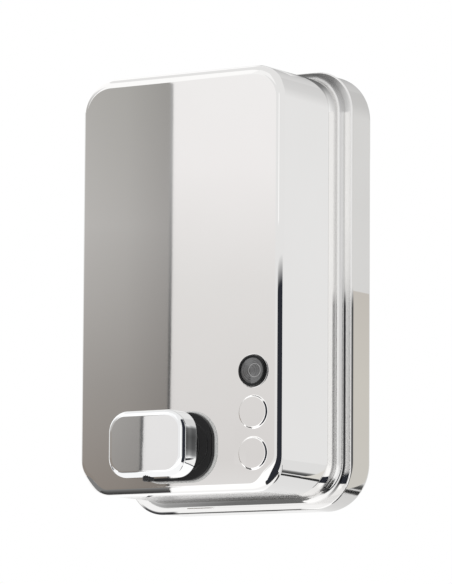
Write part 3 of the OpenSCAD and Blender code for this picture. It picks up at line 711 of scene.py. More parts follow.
# %% Rear tray
TRAY_RIM_ROUND, POCKET_ROUND = 0.4, 1.0
POCKET_W, POCKET_H, POCKET_CORNER, POCKET_DEPTH, POCKET_Z = 88.0, 152.0, 8.0, 7.0, 8.0
tray = Skin()
lip_back = TRAY_DEPTH - SHEET
tray_section = (
    arc(-TRAY_EDGE, TRAY_EDGE, TRAY_EDGE, -90, 0)
    + arc(-TRAY_RIM_ROUND, TRAY_DEPTH - TRAY_RIM_ROUND, TRAY_RIM_ROUND, 0, 90)
    + flat(0, 1, (-TRAY_LIP, TRAY_DEPTH)) + flat(-1, 0, (-TRAY_LIP, TRAY_DEPTH), (-TRAY_LIP, lip_back))
    + flat(0, -1, (-TRAY_LIP, lip_back), (-SHEET, lip_back)) + flat(-1, 0, (-SHEET, lip_back))
    + arc(-TRAY_EDGE, TRAY_EDGE, TRAY_EDGE - SHEET, 0, -90, hollow=True))
tray_rings = sweep(tray, outline(TRAY_W, TRAY_H, TRAY_CORNER, 0, TRAY_Z), tray_section)
pocket_rim = outline(POCKET_W, POCKET_H, POCKET_CORNER, 0, POCKET_Z)
pocket = sweep(tray, pocket_rim,
               arc(POCKET_ROUND, POCKET_ROUND, POCKET_ROUND, -90, -180)
               + arc(-POCKET_ROUND, POCKET_DEPTH - POCKET_ROUND, POCKET_ROUND, 0, 90, hollow=True))
bulge = sweep(tray, pocket_rim, flat(1, 0, (SHEET, SHEET), (SHEET, POCKET_DEPTH + SHEET)))
plate(tray, loop(tray_rings[0]), [loop(pocket[0])], BACK, XZ)
plate(tray, loop(pocket[-1]), [], BACK, XZ)
plate(tray, loop(tray_rings[-1]), [loop(bulge[0])], FRONT, XZ)
plate(tray, loop(bulge[-1]), [], FRONT, XZ)
build("rear_tray_pressed", tray, "rear_tray")

# %% [markdown]
# ## Push button
# The cap is a chromed moulding with a soft edge. Its face is shaded as if it leaned up by a degree, so that
# it mirrors a lighter part of the studio, as in the photograph. Behind it, fixed to the tank, sits the
# black base with a round collar, and under the base a pale pad that seals it on the steel. All of them are
# sections carried round an outline.

# %% Button cap
CAP_W, CAP_H, CAP_CORNER, CAP_EDGE, CAP_WALL = 41.0, 30.2, 9.5, 2.8, 1.5
CAP_REAR, CAP_FRONT, CAP_RIM_ROUND, CAP_FACE = 88.5, 100.0, 0.4, (0.0013, -0.9998, 0.0192)
CAP_EDGE_STEPS, CAP_RIM_STEPS = 16, 6
cap_axis, cap_rim = CAP_FRONT - CAP_EDGE, CAP_REAR + CAP_RIM_ROUND
cap = Skin()
cap_rings = sweep(cap, outline(CAP_W, CAP_H, CAP_CORNER, 0, PUMP_Z),
                  arc(-CAP_EDGE, cap_axis, CAP_EDGE, 90, 0, steps=CAP_EDGE_STEPS)
                  + arc(-CAP_RIM_ROUND, cap_rim, CAP_RIM_ROUND, 0, -90, steps=CAP_RIM_STEPS)
                  + arc(-CAP_WALL + CAP_RIM_ROUND, cap_rim, CAP_RIM_ROUND, -90, -180, steps=CAP_RIM_STEPS)
                  + arc(-CAP_EDGE, cap_axis, CAP_EDGE - CAP_WALL, 0, 90, hollow=True))
plate(cap, loop(cap_rings[0]), [], CAP_FACE, XZ)
plate(cap, loop(cap_rings[-1]), [], BACK, XZ)
build("button_cap_chromed", cap, "button_cap")

# %% [markdown]
# The base is one moulding: the plate, the collar round the plunger, the barrel that goes through the steel,
# and the nose that carries the cylinder. Its section from collar to barrel is swept round a circle. Two low
# beads that stand on the plate are open sweeps with closed ends.

# %% Pump base
BASE_W, BASE_H, BASE_CORNER, BASE_BACK, BASE_FRONT, BASE_ROUND = 42.0, 31.0, 13.0, 74.0, 76.6, 0.6
COLLAR_R, COLLAR_FRONT, COLLAR_ROUND, COLLAR_FILLET = 14.5, 78.4, 0.6, 0.3
BEAD_X, BEAD_REACH, BEAD_R, BEAD_TURN, BEAD_STEPS = 7.9, 11.0, 0.3, 85, 24
BARREL_R, NOSE_R, BARREL_BACK, NOSE_BACK, GUIDE_R = 10.8, 9.0, 66.0, 60.0, 6.05
base_rim = outline(BASE_W, BASE_H, BASE_CORNER, 0, PUMP_Z)
base = Skin()
base_rings = sweep(base, base_rim,
                   flat(0, -1, (-BASE_ROUND, BASE_BACK)) + flat(1, 0, (0, BASE_BACK))
                   + arc(-BASE_ROUND, BASE_FRONT - BASE_ROUND, BASE_ROUND, 0, 90))
collar = sweep(base, circle(0, PUMP_Z),
               arc(COLLAR_R + COLLAR_FILLET, BASE_FRONT + COLLAR_FILLET, COLLAR_FILLET, 270, 180, hollow=True)
               + arc(COLLAR_R - COLLAR_ROUND, COLLAR_FRONT - COLLAR_ROUND, COLLAR_ROUND, 0, 90)
               + flat(0, 1, (GUIDE_R, COLLAR_FRONT))
               + flat(-1, 0, (GUIDE_R, COLLAR_FRONT), (GUIDE_R, NOSE_BACK))
               + flat(0, -1, (GUIDE_R, NOSE_BACK), (NOSE_R, NOSE_BACK))
               + flat(1, 0, (NOSE_R, NOSE_BACK), (NOSE_R, BARREL_BACK))
               + flat(0, -1, (NOSE_R, BARREL_BACK), (BARREL_R, BARREL_BACK))
               + flat(1, 0, (BARREL_R, BARREL_BACK), (BARREL_R, BASE_BACK)))
plate(base, loop(base_rings[-1]), [loop(collar[0])], FRONT, XZ)
plate(base, loop(base_rings[0]), [loop(collar[-1])], BACK, XZ)
bead_section = arc(BEAD_REACH, BASE_FRONT, BEAD_R, 0, 360)
for side in (1, -1):
    turns = [math.radians(BEAD_TURN * (2 * step / BEAD_STEPS - 1)) for step in range(BEAD_STEPS + 1)]
    bead_rim = [(side * BEAD_X, PUMP_Z, 0.0, side * math.cos(turn), math.sin(turn)) for turn in turns]
    bead = sweep(base, bead_rim, bead_section,
                 leave={ring: (BEAD_STEPS,) for ring in range(len(bead_section))})
    for end in (0, -1):
        base.face([(ring[end][0], (-side, 0, 0)) for ring in bead[:-1]])
build("pump_base_moulded", base, "pump_base")

# %% [markdown]
# The pad is cut a little larger than the base, so that its pale edge shows all round.

# %% Pump pad
PAD_LAP, PAD_ROUND = 0.8, 0.5
pad = Skin()
pad_rings = sweep(pad, outline(BASE_W + 2 * PAD_LAP, BASE_H + 2 * PAD_LAP, BASE_CORNER + PAD_LAP, 0, PUMP_Z),
                  arc(-PAD_ROUND, FRONT_OUT + PAD_ROUND, PAD_ROUND, -90, 0)
                  + arc(-PAD_ROUND, BASE_BACK - PAD_ROUND, PAD_ROUND, 0, 90))
pad_hole = sweep(pad, circle(0, PUMP_Z), flat(-1, 0, (PUMP_HOLE, FRONT_OUT), (PUMP_HOLE, BASE_BACK)))
plate(pad, loop(pad_rings[-1]), [loop(pad_hole[-1])], FRONT, XZ)
plate(pad, loop(pad_rings[0]), [loop(pad_hole[0])], BACK, XZ)
build("pump_pad_moulded", pad, "pump_pad")

# %% [markdown]
# ## Level window
# A black ring screwed through the sheet holds a smoked lens. The ring is one closed section, swept round a
# circle: its rounded front, the seat of the lens, the bore and the stem.

# %% Level window: the ring
RING_R, RING_FRONT, RING_ROUND = 7.15, 74.0, 0.7
SEAT_R, SEAT_OUT, BORE_R, STEM_R, STEM_BACK = 6.0, 72.0, 4.2, 6.2, 64.0
bezel = Skin()
sweep(bezel, circle(WINDOW_X, WINDOW_Z),
      flat(0, -1, (STEM_R, FRONT_OUT), (RING_R, FRONT_OUT)) + flat(1, 0, (RING_R, FRONT_OUT))
      + arc(RING_R - RING_ROUND, RING_FRONT - RING_ROUND, RING_ROUND, 0, 90)
      + arc(SEAT_R + RING_ROUND / 2, RING_FRONT - RING_ROUND / 2, RING_ROUND / 2, 90, 180)
      + flat(-1, 0, (SEAT_R, SEAT_OUT)) + flat(0, 1, (SEAT_R, SEAT_OUT), (BORE_R, SEAT_OUT))
      + flat(-1, 0, (BORE_R, SEAT_OUT), (BORE_R, STEM_BACK))
      + flat(0, -1, (BORE_R, STEM_BACK), (STEM_R, STEM_BACK))
      + flat(1, 0, (STEM_R, STEM_BACK), (STEM_R, FRONT_OUT)))
build("sight_bezel_turned", bezel, "sight_bezel")

# %% [markdown]
# The lens is a little domed, with shallow rings moulded in it, which catch the thin curved lights that show
# in such a window. Its height is a formula, and the way it faces comes from the formula's slope.

# %% Level window: the lens
LENS_R, LENS_RIM, LENS_CROWN = 5.9, 73.35, 0.55
GROOVES, GROOVE_W, GROOVE_DEEP = (1.6, 2.7, 3.6, 4.6), 0.3, 0.07
LENS_STEPS, SLOPE_STEP = 64, 0.01


def lens_height(radius):
    dip = sum(max(0.0, 1 - ((radius - groove) / GROOVE_W) ** 2) ** 2 for groove in GROOVES)
    return LENS_RIM + LENS_CROWN * (1 - (radius / LENS_R) ** 2) - GROOVE_DEEP * dip


lens_section = []
for step in range(LENS_STEPS + 1):
    radius = LENS_R * (1 - step / LENS_STEPS)
    slope = (lens_height(radius + SLOPE_STEP) - lens_height(max(radius - SLOPE_STEP, 0))) / (2 * SLOPE_STEP)
    lean = math.hypot(1, slope)
    lens_section.append((radius, lens_height(radius), -slope / lean, 1 / lean))
window = Skin()
sweep(window, circle(WINDOW_X, WINDOW_Z),
      flat(0, -1, (0, SEAT_OUT), (LENS_R, SEAT_OUT)) + flat(1, 0, (LENS_R, SEAT_OUT), (LENS_R, LENS_RIM))
      + lens_section)
build("sight_lens_domed", window, "sight_lens")

# %% [markdown]
# ## Pieces that follow a path
# Geometry Nodes suit what repeats or follows a line: the ribs round the nozzle, the flat rings of rubber
# that follow the flange and the filler mouth, and the spring. A tree has a named input for each size. Its
# result is turned into a plain mesh at once, so that nothing depends on the tree later.

# %% Trees with named sizes
KINDS = {float: "NodeSocketFloat", int: "NodeSocketInt", tuple: "NodeSocketVector"}


def start_tree(name, **sizes):
    """A Geometry Nodes tree with one input for each size, and those inputs by name."""
    tree = bpy.data.node_groups.new(name, "GeometryNodeTree")
    tree.interface.new_socket("Geometry", in_out="OUTPUT", socket_type="NodeSocketGeometry")
    tree.interface.new_socket("Geometry", in_out="INPUT", socket_type="NodeSocketGeometry")
    for size, value in sizes.items():
        tree.interface.new_socket(size, in_out="INPUT", socket_type=KINDS[type(value)])
    entry = tree.nodes.new("NodeGroupInput")
    return tree, {socket.name: Value(tree, socket) for socket in entry.outputs if socket.name}


def end_tree(tree, shape, finish_name):
    real = node(tree, "GeometryNodeRealizeInstances", {}, {"Geometry": shape})
    painted = node(tree, "GeometryNodeSetMaterial", {}, {"Geometry": real, "Material": FINISHES[finish_name]})
    node(tree, "NodeGroupOutput", {}, {0: painted})


def grow(name, tree, sizes, packed, start=None):
    """Runs a tree with these sizes and keeps its result as a plain mesh."""
    piece = show(name, start or bpy.data.meshes.new(name))
    maker = piece.modifiers.new("maker", "NODES")
    maker.node_group = tree
    for socket in tree.interface.items_tree:
        if socket.in_out == "INPUT" and socket.name in sizes:
            maker[socket.identifier] = sizes[socket.name]
    ready = piece.evaluated_get(bpy.context.evaluated_depsgraph_get())
    grown = bpy.data.meshes.new_from_object(ready)
    piece.modifiers.remove(maker)
    piece.data = grown
    return stand_for(piece, packed)


print("kinds of size:", len(KINDS))

# %% [markdown]
# ## Rubber rings
# The ring between flange and tray and the ring under the filler lid are flat beads that follow a rounded
# rectangle. A rectangle curve with rounded corners carries a small rounded section.

# %% Rubber rings
RING_STEPS, BEAD_CORNER_STEPS, BEAD_CORNER = 24, 3, 0.25
ring_sizes = {"Width": 0.1, "Length": 0.1, "Corner": 0.02, "Bead width": 0.001, "Bead height": 0.001,
              "Turn": (0.0, 0.0, 0.0), "Place": (0.0, 0.0, 0.0)}
ring_tree, size = start_tree("rubber_ring", **ring_sizes)
path = node(ring_tree, "GeometryNodeCurvePrimitiveQuadrilateral", {},
            {"Width": size["Width"], "Height": size["Length"]})
path = node(ring_tree, "GeometryNodeFilletCurve", {"mode": "POLY"},
            {"Curve": path, "Radius": size["Corner"], "Count": RING_STEPS})
bead = node(ring_tree, "GeometryNodeCurvePrimitiveQuadrilateral", {},
            {"Width": size["Bead width"], "Height": size["Bead height"]})
bead = node(ring_tree, "GeometryNodeFilletCurve", {"mode": "POLY"},
            {"Curve": bead, "Radius": size["Bead height"] * BEAD_CORNER, "Count": BEAD_CORNER_STEPS})
ring = node(ring_tree, "GeometryNodeCurveToMesh", {}, {"Curve": path, "Profile Curve": bead})
ring = node(ring_tree, "GeometryNodeTransform", {},
            {"Geometry": ring, "Rotation": size["Turn"], "Translation": size["Place"]})
end_tree(ring_tree, ring, "black_rubber")

SEAM_INSET, SEAM_W, SEAM_T = 1.5, 1.2, 0.4
SEAL_OUT, SEAL_W, SEAL_T, LID_LOW = 3.0, 2.0, 0.8, 98.35
seam_mid, seal_mid = SEAM_INSET + SEAM_W / 2, SEAL_OUT - SEAL_W / 2
grow("seam_gasket_bead", ring_tree,
     {"Width": (TRAY_W - 2 * seam_mid) * MM, "Length": (TRAY_H - 2 * seam_mid) * MM,
      "Corner": (FLANGE_CORNER - seam_mid) * MM, "Bead width": SEAM_W * MM, "Bead height": SEAM_T * MM,
      "Turn": (math.pi / 2, 0.0, 0.0), "Place": metres(on_front(0, TRAY_Z, TRAY_DEPTH + SEAM_T / 2))},
     "seam_gasket")
grow("lid_seal_bead", ring_tree,
     {"Width": (MOUTH_W + 2 * seal_mid) * MM, "Length": (MOUTH_L + 2 * seal_mid) * MM,
      "Corner": (MOUTH_CORNER + seal_mid) * MM, "Bead width": SEAL_W * MM, "Bead height": SEAL_T * MM,
      "Turn": (0.0, 0.0, 0.0), "Place": metres(on_top(0, MOUTH_OUT, LID_LOW - SEAL_T / 2))},
     "lid_seal")

# %% [markdown]
# ## Nozzle
# The stub under the button is a short fluted tube, moulded in one with its ribs. The tube is a section
# carried round a circle. The tree then sets a slim round rib on each point of a circle round it.

# %% Nozzle
NOZZLE_OUT, FLUTES_OUT, NOZZLE_LOW, NOZZLE_HIGH = 96.0, 96.6, -93.8, -84.8
NOZZLE_R, NOZZLE_BORE, NOZZLE_ROUND, RIBS, RIB_R, RIB_INSET = 2.25, 1.4, 0.15, 16, 0.35, 0.3
NOZZLE_STEPS, LIP_STEPS, RIB_SIDES = 48, 5, 10
tube = Skin()
bore = sweep(tube, circle(0, NOZZLE_OUT, NOZZLE_STEPS),
             flat(-1, 0, (NOZZLE_BORE, NOZZLE_HIGH), (NOZZLE_BORE, NOZZLE_LOW)), on_top)
wall = sweep(tube, circle(0, FLUTES_OUT, NOZZLE_STEPS),
             arc(NOZZLE_R - NOZZLE_ROUND, NOZZLE_LOW + NOZZLE_ROUND, NOZZLE_ROUND, 270, 360, steps=LIP_STEPS)
             + flat(1, 0, (NOZZLE_R, NOZZLE_HIGH)), on_top)
plate(tube, loop(wall[0]), [loop(bore[-1])], DOWN, XY)
plate(tube, loop(wall[-1]), [loop(bore[0])], UP, XY)
rib_sizes = {"Ribs": RIBS, "Reach": NOZZLE_R * MM, "Rib": RIB_R * MM,
             "Length": (NOZZLE_HIGH - NOZZLE_LOW - 2 * RIB_INSET) * MM,
             "Place": metres(on_top(0, FLUTES_OUT, (NOZZLE_LOW + NOZZLE_HIGH) / 2))}
rib_tree, size = start_tree("nozzle_ribs", **rib_sizes)
spots = node(rib_tree, "GeometryNodeMeshCircle", {}, {"Vertices": size["Ribs"], "Radius": size["Reach"]})
rib = node(rib_tree, "GeometryNodeMeshCylinder", {},
           {"Vertices": RIB_SIDES, "Radius": size["Rib"], "Depth": size["Length"]})
ribs = node(rib_tree, "GeometryNodeInstanceOnPoints", {}, {"Points": spots, "Instance": rib})
ribs = node(rib_tree, "GeometryNodeTransform", {}, {"Geometry": ribs, "Translation": size["Place"]})
both = rib_tree.nodes.new("GeometryNodeJoinGeometry")
for part in (ribs, size["Geometry"]):
    rib_tree.links.new(part.socket, both.inputs[0])
end_tree(rib_tree, Value(rib_tree, both.outputs[0]), "black_plastic")
grow("nozzle_fluted", rib_tree, rib_sizes, "nozzle", tube.mesh("nozzle_tube"))

# %% [markdown]
# ## Return spring
# Inside the pump a coil of drawn wire pushes the piston out again. A spiral curve carries a round section.
# It is fixed at its back end, so when the button goes in it shortens towards that end.

# %% Return spring
SPRING_BACK, SPRING_FRONT, SPRING_R, WIRE_R, TURNS = 28.7, 53.0, 6.2, 0.6, 7.0
STROKE, CHAMBER_BACK, PISTON_BACK = 9.5, 28.0, 53.7
COIL_STEPS, WIRE_STEPS = 32, 12
spring_sizes = {"Turns": TURNS, "Reach": SPRING_R * MM, "Length": (SPRING_FRONT - SPRING_BACK) * MM,
                "Wire": WIRE_R * MM, "Place": metres(on_front(0, PUMP_Z, SPRING_BACK))}
spring_tree, size = start_tree("coil_spring", **spring_sizes)
coil = node(spring_tree, "GeometryNodeCurveSpiral", {},
            {"Resolution": COIL_STEPS, "Rotations": size["Turns"], "Start Radius": size["Reach"],
             "End Radius": size["Reach"], "Height": size["Length"]})
wire = node(spring_tree, "GeometryNodeCurvePrimitiveCircle", {},
            {"Resolution": WIRE_STEPS, "Radius": size["Wire"]})
coil = node(spring_tree, "GeometryNodeCurveToMesh", {},
            {"Curve": coil, "Profile Curve": wire, "Fill Caps": True})
coil = node(spring_tree, "GeometryNodeTransform", {},
            {"Geometry": coil, "Rotation": (math.pi / 2, 0, 0), "Translation": size["Place"]})
end_tree(spring_tree, coil, "spring_steel")
spring = grow("return_spring_coil", spring_tree, spring_sizes, "return_spring")
metres(on_front(0, PUMP_Z, CHAMBER_BACK))
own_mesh(spring)

# %% [markdown]
# ## Smaller pieces
# The lid, hinge, lock, hanger and the pump's inner pieces already have their exact form in the packed
# model. A real edge is never knife-sharp, though, and a sharp one shows no light. So each of these is
# copied, its loose triangles are joined, and a narrow bevel rounds its edges. Only the valve cage stays
# sharp, because the ball in it needs all its room.

# %% Smaller pieces
EDGE_ANGLE = math.radians(35)
BEVELS = {"filler_lid": 0.25, "hinge_bracket": 0.12, "wall_plate": 0.3, "hanger_rail": 0.3, "wall_pad": 0.6,
          "lock_housing": 0.15, "pump_nut": 0.3, "sight_nut": 0.25, "lock_nut": 0.2, "button_core": 0.2,
          "valve_cage": 0.0}
PLAIN_BEVEL, BEVEL_STEPS = 0.08, 3
JOIN_GRAIN, FLAT_ANGLE = 2e-6, math.radians(1)


def dress(packed):
    mesh = frame["nodes"][packed].data.copy()
    joined = bmesh.new()
    joined.from_mesh(mesh)
    bmesh.ops.remove_doubles(joined, verts=joined.verts, dist=JOIN_GRAIN)
    bmesh.ops.dissolve_limit(joined, angle_limit=FLAT_ANGLE, verts=joined.verts, edges=joined.edges)
    joined.to_mesh(mesh)
    joined.free()
    mesh.shade_smooth()
    mesh.set_sharp_from_angle(angle=EDGE_ANGLE)
    piece = show(packed + "_edged", mesh)
    width = BEVELS.get(packed, PLAIN_BEVEL) * MM
    if width:
        bevel = piece.modifiers.new("edges", "BEVEL")
        bevel.width = width
        bevel.segments = BEVEL_STEPS
        bevel.limit_method = "ANGLE"
        bevel.angle_limit = EDGE_ANGLE
        bevel.harden_normals = True
    return stand_for(piece, packed)


for packed in sorted(set(frame["nodes"]) - dressed):
    dress(packed)
print("pieces that stand for packed ones:", len(dressed))

# %% [markdown]
# ## Studio
# Polished steel looks like what stands round it, so the studio is built for its reflections: white air, a
# pale floor, and glowing sheets that only mirrors see. A photographer does the same with grey and black
# cards just out of the picture, because a bright metal box on white would have no edges without them.

# %% Studio: air
AIR, GLOSS_AIR = 0.82, 0.98
air = bpy.data.worlds.new("studio_air")
bpy.context.scene.world = air
air.use_nodes = True
air.node_tree.nodes.clear()


def seen(tree):
    """1 for rays of the camera and through glass."""
    camera_ray = node(tree, "ShaderNodeLightPath", output="Is Camera Ray")
    return camera_ray + node(tree, "ShaderNodeLightPath", output="Is Transmission Ray")


tree = air.node_tree
mirrored = node(tree, "ShaderNodeLightPath", output="Is Glossy Ray")
strength = AIR + (1 - AIR) * seen(tree) + (GLOSS_AIR - AIR) * mirrored
node(tree, "ShaderNodeOutputWorld", {}, {"Surface": node(
    tree, "ShaderNodeBackground", {}, {"Color": (1, 1, 1, 1), "Strength": strength})})

print("air:", AIR, "and in mirrors", GLOSS_AIR)

# %% [markdown]
# The floor is pale and matt. In mirrors it glows, more in front of the tank than behind it, as a lit table
# does.

# %% Studio: floor
FLOOR_Z, FLOOR_SIZE = -0.6, 12.0
FLOOR_PAINT, FLOOR_FRONT, FLOOR_BACK, FLOOR_TURN = (0.86, 0.86, 0.85, 1), 1.3, 0.92, (-0.1, 0.3)
floor_paint, tree = empty_material("studio_floor")
matt = node(tree, "ShaderNodeBsdfDiffuse", {}, {"Color": FLOOR_PAINT})
spot = node(tree, "ShaderNodeTexCoord", output="Object")
depth = node(tree, "ShaderNodeSeparateXYZ", {}, {0: spot}, output="Y")
behind = node(tree, "ShaderNodeMapRange", {},
              {"Value": depth, "From Min": FLOOR_TURN[0], "From Max": FLOOR_TURN[1]})
bright = mixed(tree, behind, (*[FLOOR_FRONT] * 3, 1), (*[FLOOR_BACK] * 3, 1))
glow = node(tree, "ShaderNodeEmission", {}, {"Color": bright, "Strength": 1.0})
mirrored = node(tree, "ShaderNodeLightPath", output="Is Glossy Ray")
node(tree, "ShaderNodeOutputMaterial", {}, {"Surface": node(
    tree, "ShaderNodeMixShader", {}, {0: mirrored, 1: matt, 2: glow})})
floor_mesh = bpy.data.meshes.new("studio_floor")
half = FLOOR_SIZE / 2
floor_mesh.from_pydata([(-half, -half, FLOOR_Z), (half, -half, FLOOR_Z), (half, half, FLOOR_Z),
                        (-half, half, FLOOR_Z)], [], [(0, 1, 2, 3)])
floor_mesh.materials.append(floor_paint)
show("studio_floor", floor_mesh)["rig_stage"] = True
print("floor at", FLOOR_Z, "m")

# %% [markdown]
# A sheet glows in tones that run up it, multiplied by others that run across it. The camera, soft light and
# shadows pass it by, so it shows only in mirrors. A card is such a sheet that stands upright, curved round
# the tank.

# %% Studio: sheets that only mirrors see
CARD_STEPS = 40


def grey(tone):
    return (tone, tone, tone)


def even(tone):
    return [(0.0, grey(tone)), (1.0, grey(tone))]


PLAIN, BLACK = even(1.0), even(0.04)


def sheet(name, low, high, tones, across=PLAIN):
    """A glowing sheet between two rows of points. Its tones run from the low row to the high one, and are
    multiplied by those across it."""
    steps = len(low) - 1
    mesh = bpy.data.meshes.new(name)
    mesh.from_pydata(low + high, [], [(i, i + 1, steps + i + 2, steps + i + 1) for i in range(steps)])
    unwrapped = mesh.uv_layers.new(name="rise")
    unwrapped.data.foreach_set("uv", [value for i in range(steps) for value in (
        i / steps, 0, (i + 1) / steps, 0, (i + 1) / steps, 1, i / steps, 1)])
    paint, tree = empty_material(name)
    spot = node(tree, "ShaderNodeTexCoord", output="UV")
    ramps = []
    for axis, stops in (("X", across), ("Y", tones)):
        place = node(tree, "ShaderNodeSeparateXYZ", {}, {0: spot}, output=axis)
        ramps.append(node(tree, "ShaderNodeValToRGB", {"stops": stops}, {0: place}))
    both = mixed(tree, 1.0, *ramps, blend="MULTIPLY")
    node(tree, "ShaderNodeOutputMaterial", {}, {"Surface": node(
        tree, "ShaderNodeEmission", {}, {"Color": both, "Strength": 1.0})})
    mesh.materials.append(paint)
    made = show(name, mesh)
    made.visible_camera = made.visible_diffuse = made.visible_shadow = made.visible_transmission = False
    made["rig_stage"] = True


def card(name, turns, radius, heights, tones, across=PLAIN):
    """An upright sheet curved round the tank between two directions. Its tones are given by height."""
    low, high = heights
    first, last = turns
    steps = [math.radians(first + (last - first) * i / CARD_STEPS) for i in range(CARD_STEPS + 1)]
    rows = [[(radius * math.sin(turn), -radius * math.cos(turn), z) for turn in steps] for z in heights]
    sheet(name, *rows, [((z - low) / (high - low), tone) for z, tone in tones], across)


print("steps of a card:", CARD_STEPS)

# %% [markdown]
# Upright cards stand round the tank, out of the camera's sight. The grey one at the left gives the front
# its dark part, and its edge, with a thin black strip, the line down the middle. Bright ones stand beside
# and above it, one rounds off the top left corner, and two behind shade the tray.

# %% Studio: cards
CARD_EDGE, CARD_R, CARD_LOW, CARD_TOP, BRIGHT_TOP, STRIP_W = -32.10, 3.06, -0.59, 0.66, 1.5, 0.065
GREY_LEFT, GREY_END, NEAR_R, BACK_R = -88, -34, CARD_R - 0.01, 3.2
CORNER_TONE = (0.54, 0.53, 0.51)
card_tones = [(0.10, (0.33, 0.295, 0.265)), (0.24, (0.42, 0.40, 0.38)), (0.43, (0.60, 0.585, 0.57)),
              (0.594, CORNER_TONE)]
card("grey_card", (GREY_LEFT, GREY_END), CARD_R, (CARD_LOW, CARD_TOP), card_tones)
card("grey_card_end", (GREY_END, CARD_EDGE), CARD_R, (CARD_LOW, CARD_TOP), card_tones,
     [(0.0, grey(1.0)), (0.5, grey(0.93)), (1.0, grey(0.76))])
card("high_card", (-140, CARD_EDGE), CARD_R, (CARD_TOP, 4.0), [(CARD_TOP, grey(1.25)), (4.0, grey(1.25))])
card("high_bright_card", (CARD_EDGE, 10), CARD_R, (BRIGHT_TOP, 5.0),
     [(BRIGHT_TOP, grey(1.15)), (5.0, grey(1.15))])
card("bright_card", (CARD_EDGE, -23), CARD_R, (CARD_LOW, BRIGHT_TOP),
     [(-0.2, grey(1.4)), (0.0, grey(1.2)), (0.15, (0.86, 0.84, 0.83)), (0.36, (0.94, 0.925, 0.915)),
      (0.5, (1.08, 1.06, 1.06)), (0.62, (1.1, 1.09, 1.09)), (0.8, grey(1.12)), (0.95, grey(1.16))])
card("edge_strip", (CARD_EDGE, CARD_EDGE + STRIP_W), NEAR_R, (CARD_LOW, 0.6),
     [(-0.5, grey(0.06)), (0.28, grey(0.1)), (0.4, grey(0.3)), (0.5, grey(0.45)), (0.6, grey(0.45))])
card("corner_card", (GREY_LEFT, -45), NEAR_R, (CARD_TOP, 1.9),
     [(CARD_TOP, CORNER_TONE), (1.2, grey(0.75)), (1.9, grey(1.2))])
card("camera_card", (22, 33.5), CARD_R, (CARD_LOW, 0.9), [(0.0, grey(1.35)), (0.8, grey(1.2))])
card("back_card", (-182, -148), BACK_R, (0.55, 2.2), [(0.6, grey(1.0)), (1.6, grey(1.0))],
     [(0.0, grey(0.82)), (0.4, grey(0.74)), (0.75, grey(0.58)), (1.0, grey(0.4))])
card("side_back_card", (-218, -182), BACK_R, (0.6, 2.4),
     [(0.6, grey(1.0)), (1.1, grey(0.96)), (2.4, grey(0.92))],
     [(0.17, grey(0.98)), (0.42, grey(0.87)), (1.0, grey(0.82))])
print("card edge at", CARD_EDGE, "degrees")

# %% [markdown]
# Small flags stand close to the tank, and mirrors near them see them while the flat front does not. One
# stands at the flange above the tank and one bends round the top right corner with it. One lies under the
# bottom, between two white slips, one shades the lower left corner, and one stands beside the front edge.

# %% Studio: flags at the tank
FLAG_LEFT, FLAG_RIGHT, BEND_Z, FLAG_OUT, UNDER_OUT = -0.01, 0.0385, 0.0815, -0.0225, -0.064
UNDER_LEFT, UNDER_RIGHT, UNDER_Z, CORNER_X, CORNER_Z = -0.25, 0.012, -0.112, -0.056, -0.106
SLIP_TONE, TRAY_X, TRAY_LIGHT, SIDE_X = 1.15, 0.0625, -0.0021, 0.075
sheet("over_flag", [(FLAG_LEFT, FLAG_OUT, 0.0985), (FLAG_RIGHT, FLAG_OUT, 0.0985)],
      [(FLAG_LEFT, -0.0205, 0.113), (FLAG_RIGHT, -0.0205, 0.113)],
      [(0.0, grey(0.05)), (0.25, grey(0.2)), (0.5, grey(0.6)), (1.0, grey(0.98))])
bend = [math.radians(90 * step / CARD_STEPS) for step in range(CARD_STEPS + 1)]
bend_rows = [[(FLAG_RIGHT + reach * math.sin(turn), y, BEND_Z + reach * math.cos(turn)) for turn in bend]
             for reach, y in ((0.017, FLAG_OUT), (0.0208, -0.0218))]
sheet("bend_flag", *bend_rows, [(0.0, grey(0.2)), (1.0, grey(0.3))],
      [(0.0, grey(0.5)), (0.4, grey(0.9)), (0.65, grey(2.2)), (1.0, grey(3.1))])
sheet("under_flag", [(UNDER_LEFT, -0.062, UNDER_Z), (UNDER_RIGHT, -0.062, UNDER_Z)],
      [(UNDER_LEFT, 0.02, -0.2), (UNDER_RIGHT, 0.02, -0.2)], PLAIN,
      [(0.45, grey(0.75)), (0.57, grey(0.6)), (0.84, grey(0.2)), (1.0, grey(0.17))])
for name, end, top in (("under_slip", 0.06, -0.0974), ("left_slip", CORNER_X, -0.08)):
    sheet(name, [(UNDER_LEFT, UNDER_OUT, UNDER_Z), (end, UNDER_OUT, UNDER_Z)],
          [(UNDER_LEFT, UNDER_OUT, top), (end, UNDER_OUT, top)], even(SLIP_TONE))
sheet("corner_flag", [(-0.16, -0.05, CORNER_Z), (CORNER_X, -0.05, CORNER_Z)],
      [(-0.16, -0.13, CORNER_Z), (CORNER_X, -0.13, CORNER_Z)], even(0.25))
sheet("tray_slip", [(TRAY_X, 0.004, -0.108), (TRAY_X, -0.0158, -0.108)],
      [(TRAY_X, 0.004, TRAY_LIGHT), (TRAY_X, -0.0158, TRAY_LIGHT)],
      [(0.0, (0.87, 0.85, 0.80)), (0.6, (0.86, 0.83, 0.77)), (1.0, (0.80, 0.76, 0.71))])
sheet("side_flag", [(SIDE_X, -0.066, -0.3), (SIDE_X, -0.14, -0.3)],
      [(SIDE_X, -0.066, 0.03), (SIDE_X, -0.14, 0.03)],
      [(0.905, (0.03, 0.033, 0.043)), (0.945, grey(0.98))])
print("flags at the tank set")

# %% [markdown]
# The button needs three of its own. A white slip lights its lower edge, a dark card shades its right side,
# and a cover in the tone of the bright card hides that one from the front.

